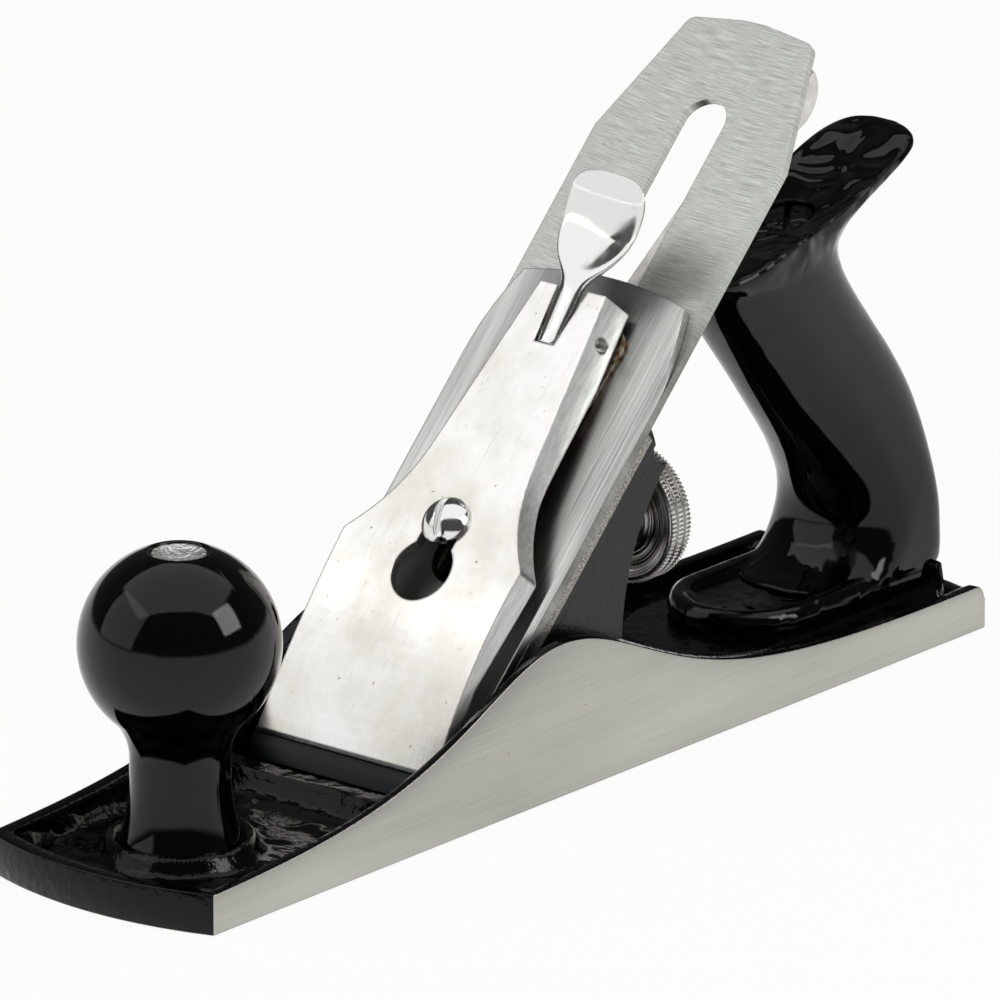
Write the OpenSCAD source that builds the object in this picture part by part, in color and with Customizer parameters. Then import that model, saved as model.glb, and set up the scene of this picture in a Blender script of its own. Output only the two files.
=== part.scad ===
// Bench smoothing plane of the iron bench-plane pattern: a cast body, a sliding frog set at 45 degrees,
// a cutter with its cap iron, a lever cap, a depth nut, a lateral lever, a turned knob and a rear handle.
// Frame: +X runs from toe to heel, +Z is up, +Y is the right-hand side seen from the toe; the origin is
// the centre of the sole's underside. Lengths are millimetres.

/* [Body casting] */
// Length of the sole at its centre line
sole_len = 261; // [255:1:275]
// Width of the sole
sole_w = 60; // [59:0.5:66]
// Thickness of the sole
sole_t = 4.5; // [4:0.25:5.5]
// Thickness of each cheek
cheek_t = 3.2; // [2.6:0.2:3.2]
// Height of the cheeks at their highest place
cheek_h = 33.4; // [28:0.5:38]
// Height of the rim at the toe
toe_h = 8; // [6.5:0.5:9]
// Height of the rim at the heel
heel_h = 9.6; // [8:0.2:11]
// How far each curved end stands out past its corners
end_bulge = 5.5; // [3:0.5:8]
// Thickness of the low wall along each curved end
lip_t = 4; // [3:0.5:5]
// Place of the cheeks' highest point along the sole
cheek_peak_x = -15; // [-20:1:-10]
// Length that sets how fast the cheeks fall towards the toe
cheek_front = 27; // [24:1:30]
// Length that sets how fast the cheeks fall towards the heel
cheek_rear = 28.7; // [24:1:32]
// Height of the raised lip behind the rear handle
heel_lip_h = 12.5; // [10:0.5:14]

/* [Mouth and frog seat] */
// Place where the bed's surface meets the sole's underside
mouth_x = -51.5; // [-54:0.5:-50]
// Width of the mouth across the sole
mouth_w = 53.2; // [52.8:0.2:53.4]
// Front edge of the mouth ahead of the bed's foot
mouth_front = 5; // [4.5:0.5:7]
// Angle of the bed to the sole
bed_angle = 45; // [44.5:0.5:45.5]
// Height of the cross rib ahead of the mouth
rib_h = 9; // [7:0.5:10]
// Thickness of the cross rib ahead of the mouth
rib_t = 6.5; // [4:0.5:8]
// Height of the frog's front seat
seat_low = 8; // [7:0.5:9]
// Height of the frog's rear seat
seat_high = 16; // [15:0.5:17]
// Front face of the rear seat
seat_step_x = -27; // [-27.5:0.5:-26]

/* [Frog] */
// Width of the frog
frog_w = 47; // [45:0.5:49]
// Thickness of the frog's bed plate
bed_t = 6; // [5:0.5:6.5]
// Thickness of each side web
web_t = 3.5; // [3:0.5:4.5]
// Height of the bed's shoulders along the slope
shoulder_s = 98; // [96:1:100]
// Rise of the bed's arched top above its shoulders
arch_rise = 11; // [8:1:12]
// Back face of the frog's foot
frog_back_x = 12.1; // [12:0.1:13]
// Radius of the hollow back edge of the webs
web_hollow_r = 50.5; // [48:0.5:53]
// Distance of each frog screw from the centre line
frog_screw_y = 13; // [12:0.5:14]
// Place of the frog screws along the sole
frog_screw_x = -16; // [-16.5:0.5:-15.5]
// Diameter of the frog screws
frog_screw_d = 6; // [5:0.25:6.5]
// Room in the frog's slots for its travel, each way
frog_travel = 2.6; // [2:0.1:3]

/* [Cutter] */
// Width of the cutter
blade_w = 50.8; // [48:0.2:51]
// Thickness of the cutter
blade_t = 2; // [1.6:0.1:2.2]
// Upper end of the cutter along the slope
blade_top = 193; // [188:1:197]
// Place along the slope where the cutter starts to narrow
taper_start = 162; // [158:1:166]
// Width of the cutter's top end
blade_top_w = 33; // [28:1:38]
// Width of the cutter's long slot
slot_w = 11.3; // [11:0.1:12]
// Upper end of the long slot
slot_top = 173.8; // [170:0.2:176]
// Diameter of the round hole at the slot's lower end
keyhole_d = 17; // [16.5:0.5:18]
// Height of the cutting edge above the sole's underside
edge_z = 0.5; // [0.3:0.1:0.8]
// Angle of the ground bevel
bevel_angle = 25; // [22:1:30]

/* [Cap iron] */
// Thickness of the cap iron
cap_iron_t = 2.4; // [2:0.1:2.6]
// Upper end of the cap iron along the slope
cap_iron_top = 128; // [126:1:131]
// Width of the cap iron's top edge
cap_iron_top_w = 41; // [36:1:46]
// Height of the hump behind the front edge
hump_h = 1.1; // [0.8:0.1:1.1]

/* [Lever cap] */
// Upper end of the lever cap along the slope
lever_top = 120; // [119:0.5:121]
// Lower end of the lever cap along the slope
lever_bottom = 10; // [9.5:0.5:13]
// Width of the lever cap below its shoulders
lever_w = 47.5; // [45:0.5:48]
// Width of the lever cap's top edge
lever_top_w = 17.4; // [17:0.2:19]
// Height of the lever cap's upper face above the bed
lever_n = 13.5; // [13.4:0.1:13.8]
// Thickness of the lever cap's roof
lever_roof = 2.2; // [1.8:0.1:2.4]
// Place of the shoulders along the slope
lever_shoulder = 56.5; // [55:0.5:58]
// Diameter of the keyhole's round part
lever_hole_d = 14.5; // [13:0.5:15]
// Width of the keyhole's narrow part
lever_slot_w = 9.4; // [8:0.2:10]
// Travel of the lever cap from clamped to free of its screw
lever_travel = 11.4; // [11:0.2:12]

/* [Lever cap screw] */
// Place of the screw along the slope
lcs_s = 62.5; // [61.5:0.5:65]
// Diameter of the screw's shank
lcs_d = 6.4; // [6:0.1:7]
// Diameter of the domed head
lcs_head_d = 10.8; // [10.4:0.1:11]

/* [Cam lever and spring] */
// Place of the cam lever's pin along the slope
cam_s = 110.5; // [110:0.5:111]
// Height of the pin above the bed
cam_n = 9.6; // [9.5:0.1:9.8]
// Radius of the cam
cam_r = 3.55; // [3.2:0.05:3.6]
// Diameter of the pin
cam_pin_d = 3.2; // [2.6:0.2:3.6]
// Width of the cam and its neck
cam_w = 4.4; // [4:0.2:4.8]
// Width of the thumb paddle
paddle_w = 19.5; // [17:0.5:22]
// Thickness of the leaf spring
spring_t = 0.9; // [0.7:0.1:1]
// Width of the leaf spring under the cam
spring_w = 21; // [18:1:23]
// Lean of the leaf spring about its rivet
spring_lean = 5; // [0:0.5:6]

/* [Depth adjustment] */
// Height of the depth stud's axis above the sole's underside
nut_z = 41; // [40:0.5:41.5]
// Diameter of the stud
stud_d = 6; // [5:0.2:6.4]
// Diameter of the knurled wheel
nut_d = 30; // [26:0.5:31]
// Thickness of the wheel's rim
nut_t = 6; // [5:0.5:7]
// Front face of the wheel's rim
nut_x = 38.8; // [38:0.2:40]
// Place of the hub's groove
groove_x = 25; // [24.5:0.25:26]
// Width of the hub's groove
groove_w = 3.8; // [3.7:0.1:4.1]
// Outer diameter of the hub
hub_d = 12; // [11:0.5:13]
// Diameter of the hub's neck in the groove
neck_d = 8.4; // [8:0.1:9]
// Place of the forked lever's pin along the slope
fork_s = 86; // [85.5:0.5:87]
// Depth of that pin under the bed's surface
fork_n = 9.5; // [9.3:0.1:10]
// Diameter of the forked lever's pin
fork_pin_d = 3.2; // [2.6:0.2:3.6]
// Width of the lever's finger
finger_w = 5; // [4:0.2:5.4]

/* [Lateral adjustment] */
// Place of the lateral lever's pivot along the slope
lateral_s = 95; // [94:0.5:96]
// Lean of the lateral lever in the photographed state
lateral_lean = 8.2; // [0:0.2:8.4]
// Width of the lateral lever's strip
strip_w = 8.4; // [7.6:0.2:10]
// Thickness of the strip
strip_t = 2; // [1.6:0.1:2]
// Distance of the disc from the pivot
disc_arm = 7; // [6.5:0.25:7]
// Diameter of the disc
disc_d = 9; // [8:0.2:9]
// Upper end of the lateral lever along the slope
tab_top = 189.5; // [187:0.5:191]
// Diameter of the lateral lever's thumb tab
tab_d = 16.5; // [12:0.5:18]

/* [Knob] */
// Distance of the knob's centre from the toe
knob_toe = 29; // [27.5:0.5:31.5]
// Diameter of the knob's ball
knob_d = 43.2; // [38:0.4:44]
// Diameter of the knob's neck
knob_neck_d = 21.8; // [20:0.2:23]
// Diameter of the knob's foot
knob_foot_d = 24.6; // [23.6:0.2:24.8]
// Height of the ball's centre above the sole's underside
knob_ball_z = 50; // [47:0.5:52]
// Height of the flat top above the sole's underside
knob_top_z = 69; // [66.5:0.5:70]
// Diameter of the ring cast around the knob's foot
knob_ring_d = 33.5; // [32:0.5:36]

/* [Rear handle] */
// Place of the handle's bolt where it enters the casting
tote_bolt_x = 112; // [111:0.5:113]
// Forward lean of the handle's bolt
tote_lean = 11.7; // [11:0.1:12.2]
// Thickness of the grip
grip_t = 25; // [22:0.5:28]
// Width of the handle's foot
foot_w = 34; // [30:0.5:35]
// Front tip of the handle's foot
foot_tip_x = 65; // [63:0.5:70]
// Height of the pad that the handle stands on
pad_h = 8.5; // [7.5:0.25:9]
// Width of that pad
pad_w = 39; // [38:0.5:41]
// Diameter of the bolts of knob and handle
bolt_d = 6; // [5:0.25:6.5]
// Diameter of the round nuts of knob and handle
bolt_nut_d = 11.3; // [10:0.1:12]

/* [Hidden] */

// Faces that slide on one another are this far apart
slide_gap = 0.1;
// Radial clearance of a shaft that turns in its hole
run_gap = 0.05;
// Radial clearance of a screw or rod that passes through a hole
pass_gap = 0.3;
// How far a cutting shape runs past the face that it cuts
over = 1;

iron = "#1B1B1D";
steel = "#B9BAB6";
chrome = "#E4E5E3";
zinc = "#C9C8C2";
enamel = "#0E0E10";

corner_x = sole_len / 2 - end_bulge;
knob_x = knob_toe - sole_len / 2;
end_r = (pow(sole_w / 2, 2) + pow(end_bulge, 2)) / (2 * end_bulge);
inner_y = sole_w / 2 - cheek_t;

// Heights above the bed: the cutter's faces, then the cap iron's
blade_n = slide_gap;
blade_face = blade_n + blade_t;
cap_iron_n = blade_face + slide_gap;
cap_iron_face = cap_iron_n + cap_iron_t;
edge_s = edge_z / sin(bed_angle) - blade_face / tan(bed_angle);
cap_iron_edge = edge_s + 2.2;
cap_screw_s = 47;

// World place of a point given along the bed and square to it
function bed_x(s, n) = mouth_x + s * cos(bed_angle) - n * sin(bed_angle);
function bed_z(s, n) = s * sin(bed_angle) + n * cos(bed_angle);
function cosh(u) = (exp(u) + exp(-u)) / 2;
function arc(cx, cy, r, from, to, steps) =
    [for (i = [0 : steps]) let (a = from + (to - from) * i / steps) [cx + r * cos(a), cy + r * sin(a)]];

// Height of the cheeks' rim along the sole
heel_lift = heel_h - toe_h;
function rim_z(x) = toe_h + (cheek_h - toe_h) / cosh((x - cheek_peak_x)
    / (x < cheek_peak_x ? cheek_front : cheek_rear))
    + (x < cheek_peak_x ? 0 : heel_lift * pow((x - cheek_peak_x) / (corner_x - cheek_peak_x), 2));

// Puts children on the bed: local x runs up the slope, local z stands square to it
module on_bed() {
    translate([mouth_x, 0, 0]) rotate([0, -bed_angle, 0]) children();
}

// Extrudes a side view drawn in x and z over a width centred on y
module across(w, y = 0) {
    translate([0, y + w / 2, 0]) rotate([90, 0, 0]) linear_extrude(w) children();
}

// Plan of the sole, inset by dx at its ends and by dy along its sides
module plan(dx = 0, dy = 0) {
    intersection() {
        square([sole_len - 2 * dx, sole_w - 2 * dy], center = true);
        union() for (side = [-1, 1])
            translate([side * (sole_len / 2 - end_r), 0]) circle(r = end_r - dx, $fn = 240);
    }
}

module slot_2d(w, from, to) {
    translate([from, -w / 2]) square([to - from, w]);
    for (x = [from, to]) translate([x, 0]) circle(d = w, $fn = 48);
}

// Side view of the casting: the rim's curve with a rounded corner at the heel
corner_r = 2.5;
module rim_profile() {
    steps = 56;
    last = corner_x - corner_r - 0.4;
    polygon(concat(
        [[-sole_len / 2, 0]],
        [for (i = [0 : steps]) let (x = -sole_len / 2 + (last + sole_len / 2) * i / steps) [x, rim_z(x)]],
        arc(last, rim_z(last) - corner_r, corner_r, 90, 0, 5),
        [[corner_x - 0.4, toe_h - 1], [sole_len / 2, toe_h - 1], [sole_len / 2, 0]]));
}

knob_seat_z = sole_t + 0.8;
knob_ring_z = 8.5;
pad_front = foot_tip_x - 15;
stud_floor = 2.2;
clip_t = 1.6;
boss_back_x = frog_back_x - 2.6;
adjust_z = 10.5;

// Solids that stand on the sole inside the pocket
module body_bosses() {
    translate([knob_x, 0, 0]) cylinder(h = knob_ring_z, d = knob_ring_d, $fn = 96);
    across(2 * inner_y + over) polygon([
        [mouth_x - mouth_front - rib_t - 1.5, 0], [mouth_x - mouth_front - rib_t - 1.5, sole_t],
        [mouth_x - mouth_front - rib_t, rib_h], [mouth_x - mouth_front, rib_h],
        [mouth_x - mouth_front, 0]]);
    across(frog_w - 1) polygon([
        [mouth_x, 0], [mouth_x, seat_low], [seat_step_x - 3, seat_low], [seat_step_x - 3, sole_t],
        [seat_step_x, sole_t], [seat_step_x, seat_high], [boss_back_x, seat_high], [boss_back_x, 0]]);
    intersection() {
        linear_extrude(pad_h) union() {
            translate([pad_front + pad_w / 2, 0]) circle(d = pad_w, $fn = 96);
            translate([pad_front + pad_w / 2, -pad_w / 2]) square([sole_len / 2, pad_w]);
        }
        linear_extrude(pad_h + over) plan();
    }
    intersection() {
        linear_extrude(heel_lip_h) difference() {
            plan();
            translate([sole_len / 2 - lip_t - 16, 0]) circle(r = 16.6, $fn = 96);
            translate([-sole_len / 2, -sole_w]) square([sole_len - lip_t - 7, 2 * sole_w]);
        }
        across(pad_w) square([sole_len, heel_lip_h]);
    }
}

module plane_body() color(iron) {
    difference() {
        union() {
            difference() {
                intersection() {
                    linear_extrude(cheek_h + over) plan();
                    across(sole_w + 2 * over) rim_profile();
                }
                translate([0, 0, sole_t]) linear_extrude(cheek_h + over) plan(lip_t, cheek_t);
            }
            body_bosses();
        }
        // Mouth: a straight front and a rear face that leans with the bed
        across(mouth_w) polygon([
            [mouth_x - mouth_front, -over], [mouth_x - mouth_front, rib_h + over],
            [bed_x((seat_high + over) / sin(bed_angle), 0) - 0.1, seat_high + over],
            [bed_x(0, -2.3) + 1.6 + seat_high + over, seat_high + over],
            [bed_x(0, -2.3) + 1.6 - over, -over]]);
        translate([knob_x, 0, knob_seat_z]) cylinder(h = 10, d = knob_foot_d + 0.4, $fn = 96);
        translate([knob_x, 0, stud_floor]) cylinder(h = 10, d = bolt_d + 2 * slide_gap, $fn = 48);
        for (side = [-1, 1]) translate([frog_screw_x, side * frog_screw_y, stud_floor])
            cylinder(h = 20, d = frog_screw_d + 2 * slide_gap, $fn = 48);
        translate([-9, 0, adjust_z]) rotate([0, 90, 0])
            cylinder(h = 30, d = stud_d + 2 * run_gap, $fn = 48);
        translate([tote_bolt_x, 0, pad_h]) rotate([0, -tote_lean, 0])
            translate([0, 0, stud_floor - pad_h]) cylinder(h = 12, d = bolt_d + 2 * slide_gap, $fn = 48);
    }
}

// Side view of the frog's webs, with the hollow back edge
module web_profile() {
    foot_s = seat_low / sin(bed_angle);
    difference() {
        polygon([
            [bed_x(foot_s + 1, -1), seat_low], [bed_x(shoulder_s - 1.5, -1), bed_z(shoulder_s - 1.5, -1)],
            [bed_x(shoulder_s - 1.5, -10.5), bed_z(shoulder_s - 1.5, -10.5)], [frog_back_x + 28, 59.2],
            [frog_back_x + 28, seat_high], [seat_step_x - 2.5, seat_high], [seat_step_x - 2.5, seat_low]]);
        translate([frog_back_x + web_hollow_r - 0.1, 25]) circle(r = web_hollow_r, $fn = 240);
        translate([frog_back_x, 0]) square([40, 25]);
    }
}

module bed_outline() {
    arch_r = (pow(frog_w / 2, 2) + pow(arch_rise, 2)) / (2 * arch_rise);
    translate([0, -frog_w / 2]) square([shoulder_s, frog_w]);
    intersection() {
        translate([shoulder_s + arch_rise - arch_r + 0.6, 0]) circle(r = arch_r, $fn = 96);
        translate([shoulder_s - 10, -frog_w / 2]) square([arch_rise + 20, frog_w]);
    }
}

plate_foot_s = seat_low / sin(bed_angle);
opening_from = 27;
opening_to = 57.5;
fork_ear_t = 3;
prong_t = 2.5;
fork_ear_y = neck_d / 2 + prong_t + 4 * slide_gap;
lever_barrel_w = 9;

module frog() color(enamel) {
    difference() {
        union() {
            for (side = [-1, 1]) across(web_t, side * (frog_w - web_t - 0.6) / 2) web_profile();
            // Base plate and the block over the front seat
            across(frog_w - 2 * web_t + 0.4) polygon([
                [bed_x(plate_foot_s + 1, -1), seat_low], [bed_x(plate_foot_s + 18, -1), seat_high + 5],
                [frog_back_x, seat_high + 5], [frog_back_x, seat_high], [seat_step_x - 2.5, seat_high],
                [seat_step_x - 2.5, seat_low]]);
            // Bed plate, cut level at its foot and clear of the rear seat's front face
            difference() {
                on_bed() translate([0, 0, -bed_t]) linear_extrude(bed_t) bed_outline();
                translate([-100, -50, -20]) cube([200, 100, 20 + seat_low]);
                translate([seat_step_x - 2.7, -50, -20]) cube([100, 100, 20 + seat_high + 0.3]);
            }
            // Boss behind the bed for the lever cap's screw
            on_bed() translate([lcs_s, 0, -bed_t - 6]) cylinder(h = 7, d = 14, $fn = 64);
            // Cross wall that carries the stud
            across(frog_w - 2 * web_t + 0.4) polygon([
                [2, seat_high + 4], [frog_back_x, seat_high + 4], [frog_back_x, nut_z + 1],
                [9, nut_z + 6], [2, nut_z + 6]]);
            // Ears for the forked lever's pin
            for (side = [-1, 1]) intersection() {
                on_bed() translate([fork_s, side * (fork_ear_y + fork_ear_t / 2) + fork_ear_t / 2, -fork_n])
                    rotate([90, 0, 0]) linear_extrude(fork_ear_t) union() {
                        circle(r = 4.5, $fn = 48);
                        translate([-4.5, 0]) square([9, fork_n - 1]);
                    }
                across(frog_w) polygon([[-10, 30], [60, 30], [60, 80], [-10, 80]]);
            }
        }
        // Opening round the heads of the frog's screws and of the cap iron's screw
        intersection() {
            on_bed() translate([opening_from, -15, -16]) cube([opening_to - opening_from, 30, 17]);
            translate([-100, -50, seat_high + 5]) cube([200, 100, 60]);
        }
        translate([frog_screw_x - 9, -frog_w / 2 + web_t + 0.5, seat_high + 5])
            cube([24, frog_w - 2 * web_t - 1, 9]);
        for (side = [-1, 1]) translate([frog_screw_x, side * frog_screw_y, seat_high - over])
            linear_extrude(8) slot_2d(frog_screw_d + 2 * pass_gap, -frog_travel, frog_travel);
        // Tapped hole of the lever cap's screw
        on_bed() translate([lcs_s, 0, -20]) cylinder(h = 22, d = lcs_d + 2 * run_gap, $fn = 48);
        // Slot for the forked lever's finger
        on_bed() translate([fork_s - 5.4, -3.4, -bed_t - over]) cube([10.8, 6.8, bed_t + 2 * over]);
        // Pin hole through the ears
        translate([bed_x(fork_s, -fork_n), 12, bed_z(fork_s, -fork_n)]) rotate([90, 0, 0])
            cylinder(h = 24, d = fork_pin_d + 2 * run_gap, $fn = 48);
        // Sunk fan in which the lateral lever swings, and the hole of its pivot
        on_bed() translate([0, 0, -strip_t - 3 * slide_gap]) linear_extrude(10) union() {
            translate([lateral_s, 0]) circle(r = strip_w / 2 + 0.6, $fn = 64);
            polygon([[lateral_s, -6], [lateral_s + 30, -16], [lateral_s + 30, 10], [lateral_s, 6]]);
        }
        on_bed() translate([lateral_s, 0, -20]) cylinder(h = 22, d = 5 + 2 * slide_gap, $fn = 48);
        // Tapped holes of the stud and of the clip's screw
        translate([0, 0, nut_z]) rotate([0, 90, 0]) cylinder(h = 20, d = stud_d + 2 * slide_gap, $fn = 48);
        translate([frog_back_x - 6, 0, seat_high + 4.4]) rotate([0, 90, 0])
            cylinder(h = 10, d = 3.5 + 2 * slide_gap, $fn = 48);
    }
}

washer_t = 1.2;
module frog_washers() color(steel)
    for (side = [-1, 1]) translate([frog_screw_x, side * frog_screw_y, seat_high + 5 + slide_gap])
        difference() {
            cylinder(h = washer_t, d = frog_screw_d + 5, $fn = 64);
            translate([0, 0, -over]) cylinder(h = 4, d = frog_screw_d + 2 * slide_gap, $fn = 48);
        }

module screw_slot(d, depth, w) {
    translate([-d, -w / 2, -depth]) cube([2 * d, w, depth + over]);
}

module frog_screws() color(steel)
    for (side = [-1, 1]) translate([frog_screw_x, side * frog_screw_y, 0]) difference() {
        head_z = seat_high + 5 + washer_t + 2 * slide_gap;
        union() {
            translate([0, 0, stud_floor + 1]) cylinder(h = head_z - stud_floor, d = frog_screw_d, $fn = 48);
            translate([0, 0, head_z]) cylinder(h = 3, d = frog_screw_d + 3.4, $fn = 64);
        }
        translate([0, 0, head_z + 3]) rotate([0, 0, 30]) screw_slot(8, 1.6, 1.3);
    }

adjust_head_d = 9;
module frog_adjusting_screw() color(steel)
    translate([0, 0, adjust_z]) rotate([0, 90, 0]) difference() {
        rotate_extrude($fn = 64) polygon([
            [0, -8], [stud_d / 2, -8], [stud_d / 2, frog_back_x - 1.2], [adjust_head_d / 2, frog_back_x - 1.2],
            [adjust_head_d / 2, frog_back_x], [2.3, frog_back_x], [2.3, frog_back_x + clip_t + 0.6],
            [adjust_head_d / 2, frog_back_x + clip_t + 0.6], [adjust_head_d / 2, frog_back_x + 5],
            [adjust_head_d / 2 - 0.8, frog_back_x + 5.8], [0, frog_back_x + 5.8]]);
        translate([0, 0, frog_back_x + 5.8]) screw_slot(8, 1.8, 1.3);
    }

// Forked plate on the frog's back that straddles the adjusting screw's neck
module frog_clip() color(steel) difference() {
    translate([frog_back_x + slide_gap, 0, 0]) rotate([90, 0, 90]) linear_extrude(clip_t) difference() {
        union() {
            translate([-7, sole_t + 3]) square([14, seat_high + 9 - sole_t - 5]);
            translate([0, seat_high + 4]) circle(r = 7, $fn = 64);
        }
        translate([-2.6, 0]) square([5.2, adjust_z]);
        translate([0, adjust_z]) circle(r = 2.6, $fn = 48);
    }
    translate([frog_back_x - over, 0, seat_high + 4.4]) rotate([0, 90, 0])
        cylinder(h = 6, d = 3.5 + 2 * slide_gap, $fn = 48);
}

module frog_clip_screw() color(steel)
    translate([frog_back_x, 0, seat_high + 4.4]) rotate([0, 90, 0]) difference() {
        union() {
            translate([0, 0, -5]) cylinder(h = 8, d = 3.5, $fn = 48);
            translate([0, 0, clip_t + 2 * slide_gap]) cylinder(h = 2.2, d = 6.8, $fn = 48);
        }
        translate([0, 0, clip_t + 2.2 + 2 * slide_gap]) screw_slot(5, 1.1, 1);
    }

// Vector from the forked lever's pin to the hub's groove
fork_dx = groove_x - bed_x(fork_s, -fork_n);
fork_dz = nut_z - bed_z(fork_s, -fork_n);
finger_arm = 13;
prong_in = neck_d / 2 + slide_gap;
tip_d = groove_w - 1.2;
stem_d = 1.6;
elbow = 7;

module rod_2d(x, z, d1, d2) {
    hull() {
        circle(d = d1, $fn = 32);
        translate([x, z]) circle(d = d2, $fn = 32);
    }
}

module depth_lever() color(iron)
    translate([bed_x(fork_s, -fork_n), 0, bed_z(fork_s, -fork_n)]) difference() {
        union() {
            across(lever_barrel_w) circle(d = 6.4, $fn = 48);
            // Finger that reaches through the bed into the cap iron
            across(finger_w) union() {
                rotate(90 + bed_angle) translate([0, -1.5]) square([finger_arm, 3]);
                translate([-finger_arm * sin(bed_angle), finger_arm * cos(bed_angle)]) circle(d = 4, $fn = 48);
            }
            // Two prongs on either side of the hub's neck
            for (side = [-1, 1]) across(prong_t, side * (prong_in + prong_t / 2)) difference() {
                union() {
                    rod_2d(fork_dx - 0.4, fork_dz + elbow, 5, 2.4);
                    translate([fork_dx, fork_dz]) rod_2d(-0.4, elbow, tip_d, stem_d);
                }
                circle(d = fork_pin_d, $fn = 32);
            }
            across(2 * (prong_in + prong_t)) circle(d = 5, $fn = 48);
        }
        translate([0, 15, 0]) rotate([90, 0, 0]) cylinder(h = 30, d = fork_pin_d + 2 * run_gap, $fn = 48);
    }

module depth_lever_pin() color(steel)
    translate([bed_x(fork_s, -fork_n), fork_ear_y + fork_ear_t + 0.6, bed_z(fork_s, -fork_n)]) rotate([90, 0, 0])
        cylinder(h = 2 * (fork_ear_y + fork_ear_t + 0.6), d = fork_pin_d, $fn = 48);

stud_end = nut_x + nut_t - 3;
module nut_stud() color(steel) translate([3, 0, nut_z]) rotate([0, 90, 0]) rotate_extrude($fn = 64)
    polygon([[0, 0], [stud_d / 2, 0], [stud_d / 2, stud_end - 3.8], [stud_d / 2 - 0.8, stud_end - 3], [0, stud_end - 3]]);

// Turned hub: a grooved collar, a barrel and the spigot that carries the wheel
spigot_d = 9;
hub_front = groove_x - groove_w / 2 - 1.4;
module depth_nut_hub() color("#C7B26A") translate([0, 0, nut_z]) rotate([0, 90, 0]) difference() {
    rotate_extrude($fn = 96) polygon([
        [0, hub_front], [hub_d / 2, hub_front], [hub_d / 2, groove_x - groove_w / 2],
        [neck_d / 2, groove_x - groove_w / 2], [neck_d / 2, groove_x + groove_w / 2],
        [hub_d / 2, groove_x + groove_w / 2], [hub_d / 2, nut_x - slide_gap], [spigot_d / 2, nut_x - slide_gap],
        [spigot_d / 2, nut_x + nut_t + 0.4], [0, nut_x + nut_t + 0.4]]);
    translate([0, 0, -over]) cylinder(h = 60, d = stud_d + 2 * run_gap, $fn = 48);
}

// Wheel: dished faces and three bands parted by two grooves
band_gap = 0.9;
module depth_nut() color("#8F8A7C") translate([nut_x, 0, nut_z]) rotate([0, 90, 0]) difference() {
    band = (nut_t - 2 * band_gap) / 3;
    r = nut_d / 2;
    rotate_extrude($fn = 128) polygon([
        [0, 0], [7.5, 0], [8.5, 0.9], [12.2, 0.9], [12.8, 0], [r - 0.5, 0], [r, 0.4],
        [r, band], [r - 0.7, band + 0.2], [r - 0.7, band + band_gap - 0.2], [r, band + band_gap],
        [r, 2 * band + band_gap], [r - 0.7, 2 * band + band_gap + 0.2],
        [r - 0.7, 2 * band + 2 * band_gap - 0.2], [r, 2 * band + 2 * band_gap],
        [r, nut_t - 0.4], [r - 0.5, nut_t], [12.8, nut_t], [12.2, nut_t - 0.9], [8.5, nut_t - 0.9], [7.5, nut_t], [0, nut_t]]);
    translate([0, 0, -over]) cylinder(h = nut_t + 2 * over, d = spigot_d + 2 * run_gap, $fn = 64);
}

strip_n = -slide_gap - strip_t;
module leaning() {
    on_bed() translate([lateral_s, 0, 0]) rotate([0, 0, -lateral_lean]) children();
}

module lateral_lever() color(zinc) leaning() difference() {
    reach = tab_top - lateral_s;
    union() {
        translate([0, 0, strip_n - slide_gap]) linear_extrude(strip_t) union() {
            circle(d = strip_w, $fn = 64);
            translate([0, -strip_w / 2]) square([reach - strip_w / 2, strip_w]);
            translate([reach - strip_w / 2, 0]) circle(d = strip_w, $fn = 64);
        }
        // Half-round thumb tab, folded down from the strip's near edge
        translate([reach - tab_d / 2 - 1, strip_t - strip_w / 2, 0]) rotate([90, 0, 0])
            linear_extrude(strip_t - 0.05) intersection() {
                circle(d = tab_d, $fn = 96);
                translate([-tab_d, -tab_d]) square([2 * tab_d, tab_d + strip_n + strip_t / 2]);
            }
    }
    translate([0, 0, -10]) cylinder(h = 20, d = 5 + 2 * run_gap, $fn = 48);
    translate([disc_arm, 0, -10]) cylinder(h = 20, d = 2.5 + 2 * run_gap, $fn = 32);
}

module lateral_pivot() color(zinc) on_bed() translate([lateral_s, 0, -bed_t - 0.8]) union() {
    cylinder(h = bed_t + 0.8 - slide_gap, d = 5, $fn = 48);
    cylinder(h = 0.7, d = 7, $fn = 48);
}

module lateral_disc() color(zinc) leaning() translate([disc_arm, 0, 0]) union() {
    translate([0, 0, 0]) cylinder(h = blade_t - slide_gap, d = disc_d, $fn = 64);
    translate([0, 0, strip_n]) cylinder(h = strip_t + 0.3, d = 2.5, $fn = 32);
}

dome_h = 3.1;
lcs_head_n = lever_n + slide_gap;
module lever_cap_screw() color(chrome) on_bed() translate([lcs_s, 0, 0]) difference() {
    dome_r = (pow(lcs_head_d / 2, 2) + pow(dome_h, 2)) / (2 * dome_h);
    union() {
        translate([0, 0, -8.5]) cylinder(h = lcs_head_n + 8.5 + 0.2, d = lcs_d, $fn = 48);
        translate([0, 0, lcs_head_n]) cylinder(h = 0.8, d = lcs_head_d, $fn = 64);
        intersection() {
            translate([0, 0, lcs_head_n + 0.8 + dome_h - dome_r]) sphere(r = dome_r, $fn = 96);
            translate([0, 0, lcs_head_n + 0.8]) cylinder(h = dome_h + over, d = lcs_head_d, $fn = 64);
        }
    }
    translate([0, 0, lcs_head_n + 0.8 + dome_h]) rotate([0, 0, 18]) screw_slot(8, 2, 1.6);
}

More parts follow.
